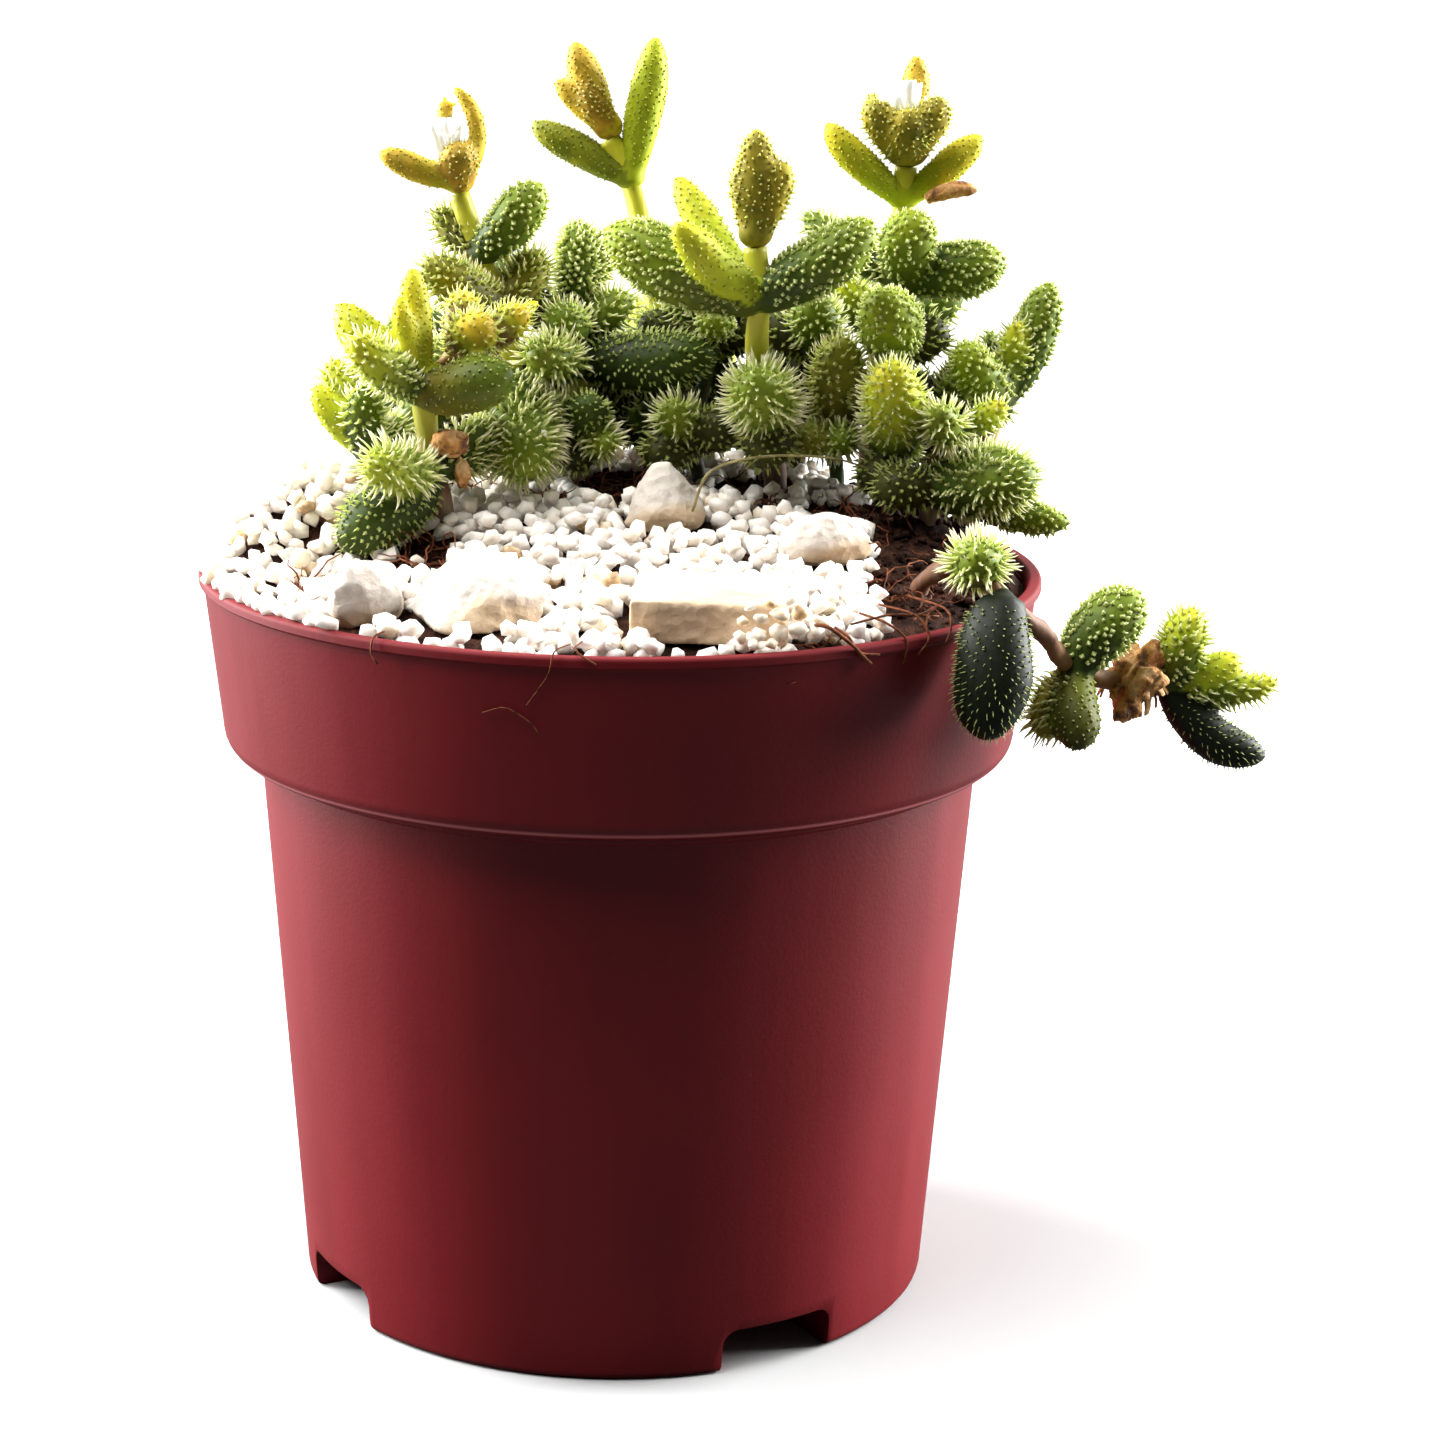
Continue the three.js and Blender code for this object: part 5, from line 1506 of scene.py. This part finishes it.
def petal_strip(base, turn, rise, length, width, curl):
    """One thin petal: a narrow strip with a rounded end, curling outward."""
    rows, verts = PETAL_STEPS, []
    swing = Matrix.Rotation(math.radians(turn), 3, "Z")
    for face in (0, 1):
        for i in range(rows):
            u = i / (rows - 1)
            slope = math.radians(rise - curl * u)
            forward = length * u * math.cos(slope) + 0.25
            height = length * u * math.sin(slope)
            half = width / 2 * (0.45 + 0.9 * u - 0.75 * u**4)
            for side in (-1, 0, 1):
                cup = 0.12 * (1 - abs(side)) - face * 0.09
                place = Vector((forward + cup * math.sin(slope), side * half, height - cup))
                verts.append(swing @ place + base)
    back = rows * 3
    faces = []
    for i in range(rows - 1):
        for a in (i * 3, i * 3 + 1):
            b = a + back
            faces.append((a, a + 3, a + 4, a + 1))
            faces.append((b, b + 1, b + 4, b + 3))
    rim = [0, 1, 2] + [3 * i + 2 for i in range(1, rows)] + [back - 2, back - 3]
    rim += [3 * i for i in range(rows - 2, 0, -1)]
    for a, b in zip(rim, rim[1:] + rim[:1]):
        faces.append((a, b, b + back, a + back))
    return np.array([tuple(v) for v in verts]), faces


def make_petals(target, finish):
    """A tuft of white strips in three crowded rows."""
    foot, length, spread = PETAL_TUFTS[target]
    parts = []
    for row, (count, share, reach) in enumerate(PETAL_ROWS):
        rise = 90 - spread * share if share else INNER_PETAL_RISE
        for k in range(count):
            turn = 360 * (k + 0.5 * row) / count + 8 * (rng.random() - 0.5)
            size = length * reach * (0.75 + 0.35 * rng.random())
            slope = rise + 4 * rng.normal()
            parts.append(petal_strip(Vector(foot), turn, slope, size, PETAL_WIDTH, 8 * rng.random()))
    petals = new_piece(target + "_strips", *stacked(parts), finish)
    turn_outwards(petals)
    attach(petals, "root")
    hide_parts(target)


# Dried parts: the curled leaf as a leaf's row, and the withered flower's middle in mm, its lobes
# as (turn, rise, length, width), and its number of shrivelled petals.
CURLED_LEAF = ((30.6, 9.3, 110.9), -6, 12, 5.4, 1.8, "orange", -40)
WITHERED_MIDDLE = (49.8, -17.5, 67.1)
WITHERED_LOBES = ((100, 55, 5, 3), (-70, 20, 5, 3), (-10, 60, 4.6, 3), (-110, -45, 4.6, 3))
WITHERED_PETALS = 16


def make_dry_leaf(ball, finish):
    verts, faces, _ = Leaf(*CURLED_LEAF).blade(ball)
    verts = verts + rng.normal(size=verts.shape) * 0.05
    dry_leaf = new_piece("dry_leaf_curl", verts, faces, finish)
    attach(dry_leaf, "root")
    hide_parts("dry_leaf")


def make_withered_flower(ball, finish):
    """A crumpled head with shrivelled petals all round."""
    lobes = [Leaf(WITHERED_MIDDLE, *lobe, "orange").blade(ball)[:2] for lobe in WITHERED_LOBES]
    verts, faces = fused([blob(WITHERED_MIDDLE, 2.4), *lobes], "withered", 0.3)
    middle = Vector(WITHERED_MIDDLE)
    for index, vertex in enumerate(verts):
        here = Vector(vertex)
        crumple = noise.fractal(here * 0.7, 0.8, 2.2, 4)
        verts[index] = here + (here - middle).normalized() * crumple * 0.9
    parts = [(verts, faces)]
    for k in range(WITHERED_PETALS):
        turn = 360 * k / WITHERED_PETALS + 20 * rng.random()
        parts.append(petal_strip(middle, turn, 70 * rng.random() - 15, 3.4, 1.1, 60))
    flower = new_piece("withered_flower_crumple", *stacked(parts), finish)
    turn_outwards(flower)
    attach(flower, "root")
    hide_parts("withered_flower")


# Litter

# Coir fibres that hang over the rim and down the collar: points in mm, and radius.
HANGING_FIBRES = [
    ([
        (-4.5, -40.6, 75.6), (-5.9, -42.4, 75.3), (-6.3, -42.2, 73.6), (-6.8, -41.6, 72.4),
        (-8.4, -41, 70),
    ], 0.07),
    ([
        (-12.4, -39.9, 69), (-11.2, -40.4, 69.5), (-10.1, -40.6, 69.6), (-8.1, -40.9, 68.4),
        (-7.2, -41, 67.2),
    ], 0.07),
    ([
        (17.6, -36.4, 76.6), (18.7, -38.1, 76.8), (20.8, -37.6, 75.2), (21.8, -36.6, 74),
        (22.8, -35.9, 72.9),
    ], 0.2),
    ([(19.4, -36.2, 76.4), (20.6, -37.6, 75.8), (21.6, -36.7, 74.2), (23.6, -35.3, 73.7)], 0.14),
    ([(22, -31, 76.6), (24.4, -33.6, 76.2), (26.2, -33.4, 74.6), (25.9, -33.3, 72.4)], 0.13),
    ([(24, -28, 76.8), (27.2, -31.4, 76.5), (28.4, -32.1, 74.6), (27.4, -32.3, 73)], 0.12),
    ([(27, -25, 77), (30.2, -29, 76.6), (30.6, -30.2, 75), (30, -30.4, 73.4)], 0.12),
    ([(21, -34, 76.2), (24.6, -33.4, 77), (27.6, -30.4, 76.4), (29.6, -27, 76.6)], 0.12),
    ([(-3.5, -39.6, 75.6), (-4.1, -41.8, 75.5), (-3.4, -42.6, 74.9), (-2.2, -42.7, 74.2)], 0.1),
    ([(-21.5, -35, 75.3), (-22.4, -36.2, 75), (-22.6, -36.4, 73.6), (-22, -36.6, 72.6)], 0.1),
]
LOOSE_FIBRES = 520
CURL_STEPS = 7
# The dry stalk's path, the lumps of the bract as (place, half sizes), and the granules that are
# caught among the leaves as (place, radius), all in mm.
STALK_ARCH = [
    (7, -4.6, 81), (8, -5, 84.2), (9, -5, 85.3), (11.2, -4.5, 86.1), (14.7, -3, 86.4), (18.8, -1, 86.1),
    (22.2, 1, 85.4), (25.4, 3, 84.1),
]
BRACT_LUMPS = [((-17.2, -3.2, 87.4), (2.0, 1.3, 1.45)), ((-16, -2.4, 84.2), (0.8, 0.7, 1.6))]
STRAY_GRANULES = [((-8.3, 2.2, 87.4), 1.15), ((11.4, 2.4, 85.6), 1.1)]


def curl(start, heading, length, radius, sag):
    """A loose thread that wanders from a start."""
    place, way = Vector(start), Vector(heading).normalized()
    path = [place.copy()]
    for _ in range(CURL_STEPS):
        way = (way + Vector(rng.normal(size=3)) * 0.35 - Vector((0, 0, sag))).normalized()
        place = place + way * (length / CURL_STEPS)
        if math.hypot(place.x, place.y) < INNER_RIM - 0.5:
            place.z = max(place.z, soil_height(place.x, place.y) + 0.3)
        path.append(place.copy())
    return tube(path, lambda share, angle: radius * (1 - 0.5 * share), 5)


def make_fibres(finish):
    """Coir on the bare soil and over the rim."""
    parts = [tube(smooth_path(points, 0.5), lambda share, angle, r=r: r, 5) for points, r in HANGING_FIBRES]
    for _ in range(LOOSE_FIBRES):
        x, y = place_in(BARE_PATCHES[rng.integers(len(BARE_PATCHES))])
        if math.hypot(x, y) > INNER_RIM - 3:
            continue
        heading = (rng.normal(), rng.normal(), 0.5)
        length, radius = 2 + 4 * rng.random(), 0.05 + 0.08 * rng.random()
        parts.append(curl((x, y, soil_height(x, y) + 0.2), heading, length, radius, 0.14))
    fibres = new_piece("coir_threads", *stacked(parts), finish)
    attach(fibres, "root")


def make_stalk(finish):
    """The dead stalk that arches over the grit."""
    verts, faces = tube(smooth_path(STALK_ARCH), lambda share, angle: 0.15 * (1 - 0.3 * share), 8)
    stalk = new_piece("dry_stalk", verts, faces, finish)
    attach(stalk, "root")


def make_bract(finish):
    parts = []
    for place, size in BRACT_LUMPS:
        verts, faces = blob()
        rough = [1 + 0.35 * noise.fractal(Vector(v) * 2.2 + Vector(place), 0.8, 2.2, 4) for v in verts]
        parts.append((verts * np.array(rough)[:, None] * size + place, faces))
    bract = new_piece("dry_bract", *stacked(parts), finish)
    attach(bract, "root")


def make_strays(finish):
    """Granules caught among the leaves."""
    shapes = granule_shapes(len(STRAY_GRANULES))
    parts = [(verts * r + place, faces) for (verts, faces), (place, r) in zip(shapes, STRAY_GRANULES)]
    verts, faces = stacked(parts)
    stray = new_piece("stray_granules", verts, faces, finish, tint=[0.1] * len(verts))
    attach(stray, "root")


# The whole plant

# Pieces with more than one whorl or with a stalk of their own: the whorls, and the stalk's name.
GROWN = {
    "left_leaves_2": (["left_leaves_2", "left_sprig"], "left_fork"),
    "low_left_shoot": (["low_left_shoot"], "low_left_shoot"),
    "low_centre_shoot": (["low_centre_lower", "low_centre_shoot"], "low_centre_shoot"),
    "mid_right_shoot": (["mid_right_lower", "mid_right_shoot"], "mid_right_shoot"),
    "inner_leaves": ([name for name in WHORLS if name.startswith("inner_")], None),
}
YOUNG_PIECES = ("left_leaves_2", "low_left_shoot")
INNER_STALK_FOOT = (78, 81)


def leaf_pieces():
    """Every leafy piece with its whorls and its stalk's name: the grown ones first, then the others."""
    taken_up = {name for names, _ in GROWN.values() for name in names}
    return {**GROWN, **{name: ([name], None) for name in WHORLS if name not in taken_up}}


def stalks_of(target, names, stalk):
    """The stalks that are fused into a leafy piece."""
    if target == "inner_leaves":
        nodes = [WHORLS[name][0] for name in names]
        paths = [[Vector((x, y, height)) for height in (*INNER_STALK_FOOT, z)] for x, y, z in nodes]
        return [tube(path, lambda share, angle: 1.0) for path in paths]
    if stalk:
        points, radius = STEMS[stalk]
        return [tube(smooth_path(points), lambda share, angle: radius)]
    return []


def build_plant(dry):
    ball = ball_shape()
    skins = {
        "leaf": leaf_finish("leaf_skin"),
        "young_leaf": leaf_finish("young_leaf_skin", 0.36, 0.45),
        "sepal": leaf_finish("sepal_skin", 0.45, 0.4),
    }
    bark = stem_finish()
    for target, (names, stalk) in leaf_pieces().items():
        slot = "sepal" if target in CUPS else "young_leaf" if target in YOUNG_PIECES else "leaf"
        make_whorl(names, target, ball, skins[slot], stalks_of(target, names, stalk))
    for name in STEMS:
        if name.endswith("_stem"):
            make_stem(name, bark)
    white = petal_finish()
    for target in PETAL_TUFTS:
        make_petals(target, white)
    make_dry_leaf(ball, dry)
    make_withered_flower(ball, dry)


set_camera()
set_light()
make_floor()
make_pot(pot_finish())
SOIL = soil_finish()
make_soil(SOIL)
make_crumbs(SOIL)
WHITE_GRIT = grit_finish()
make_grit(WHITE_GRIT)
make_stones(stone_finish())
DRY_SKIN = dry_finish()
build_plant(DRY_SKIN)
make_fibres(fibre_finish())
make_stalk(straw_finish())
make_bract(DRY_SKIN)
make_strays(WHITE_GRIT)
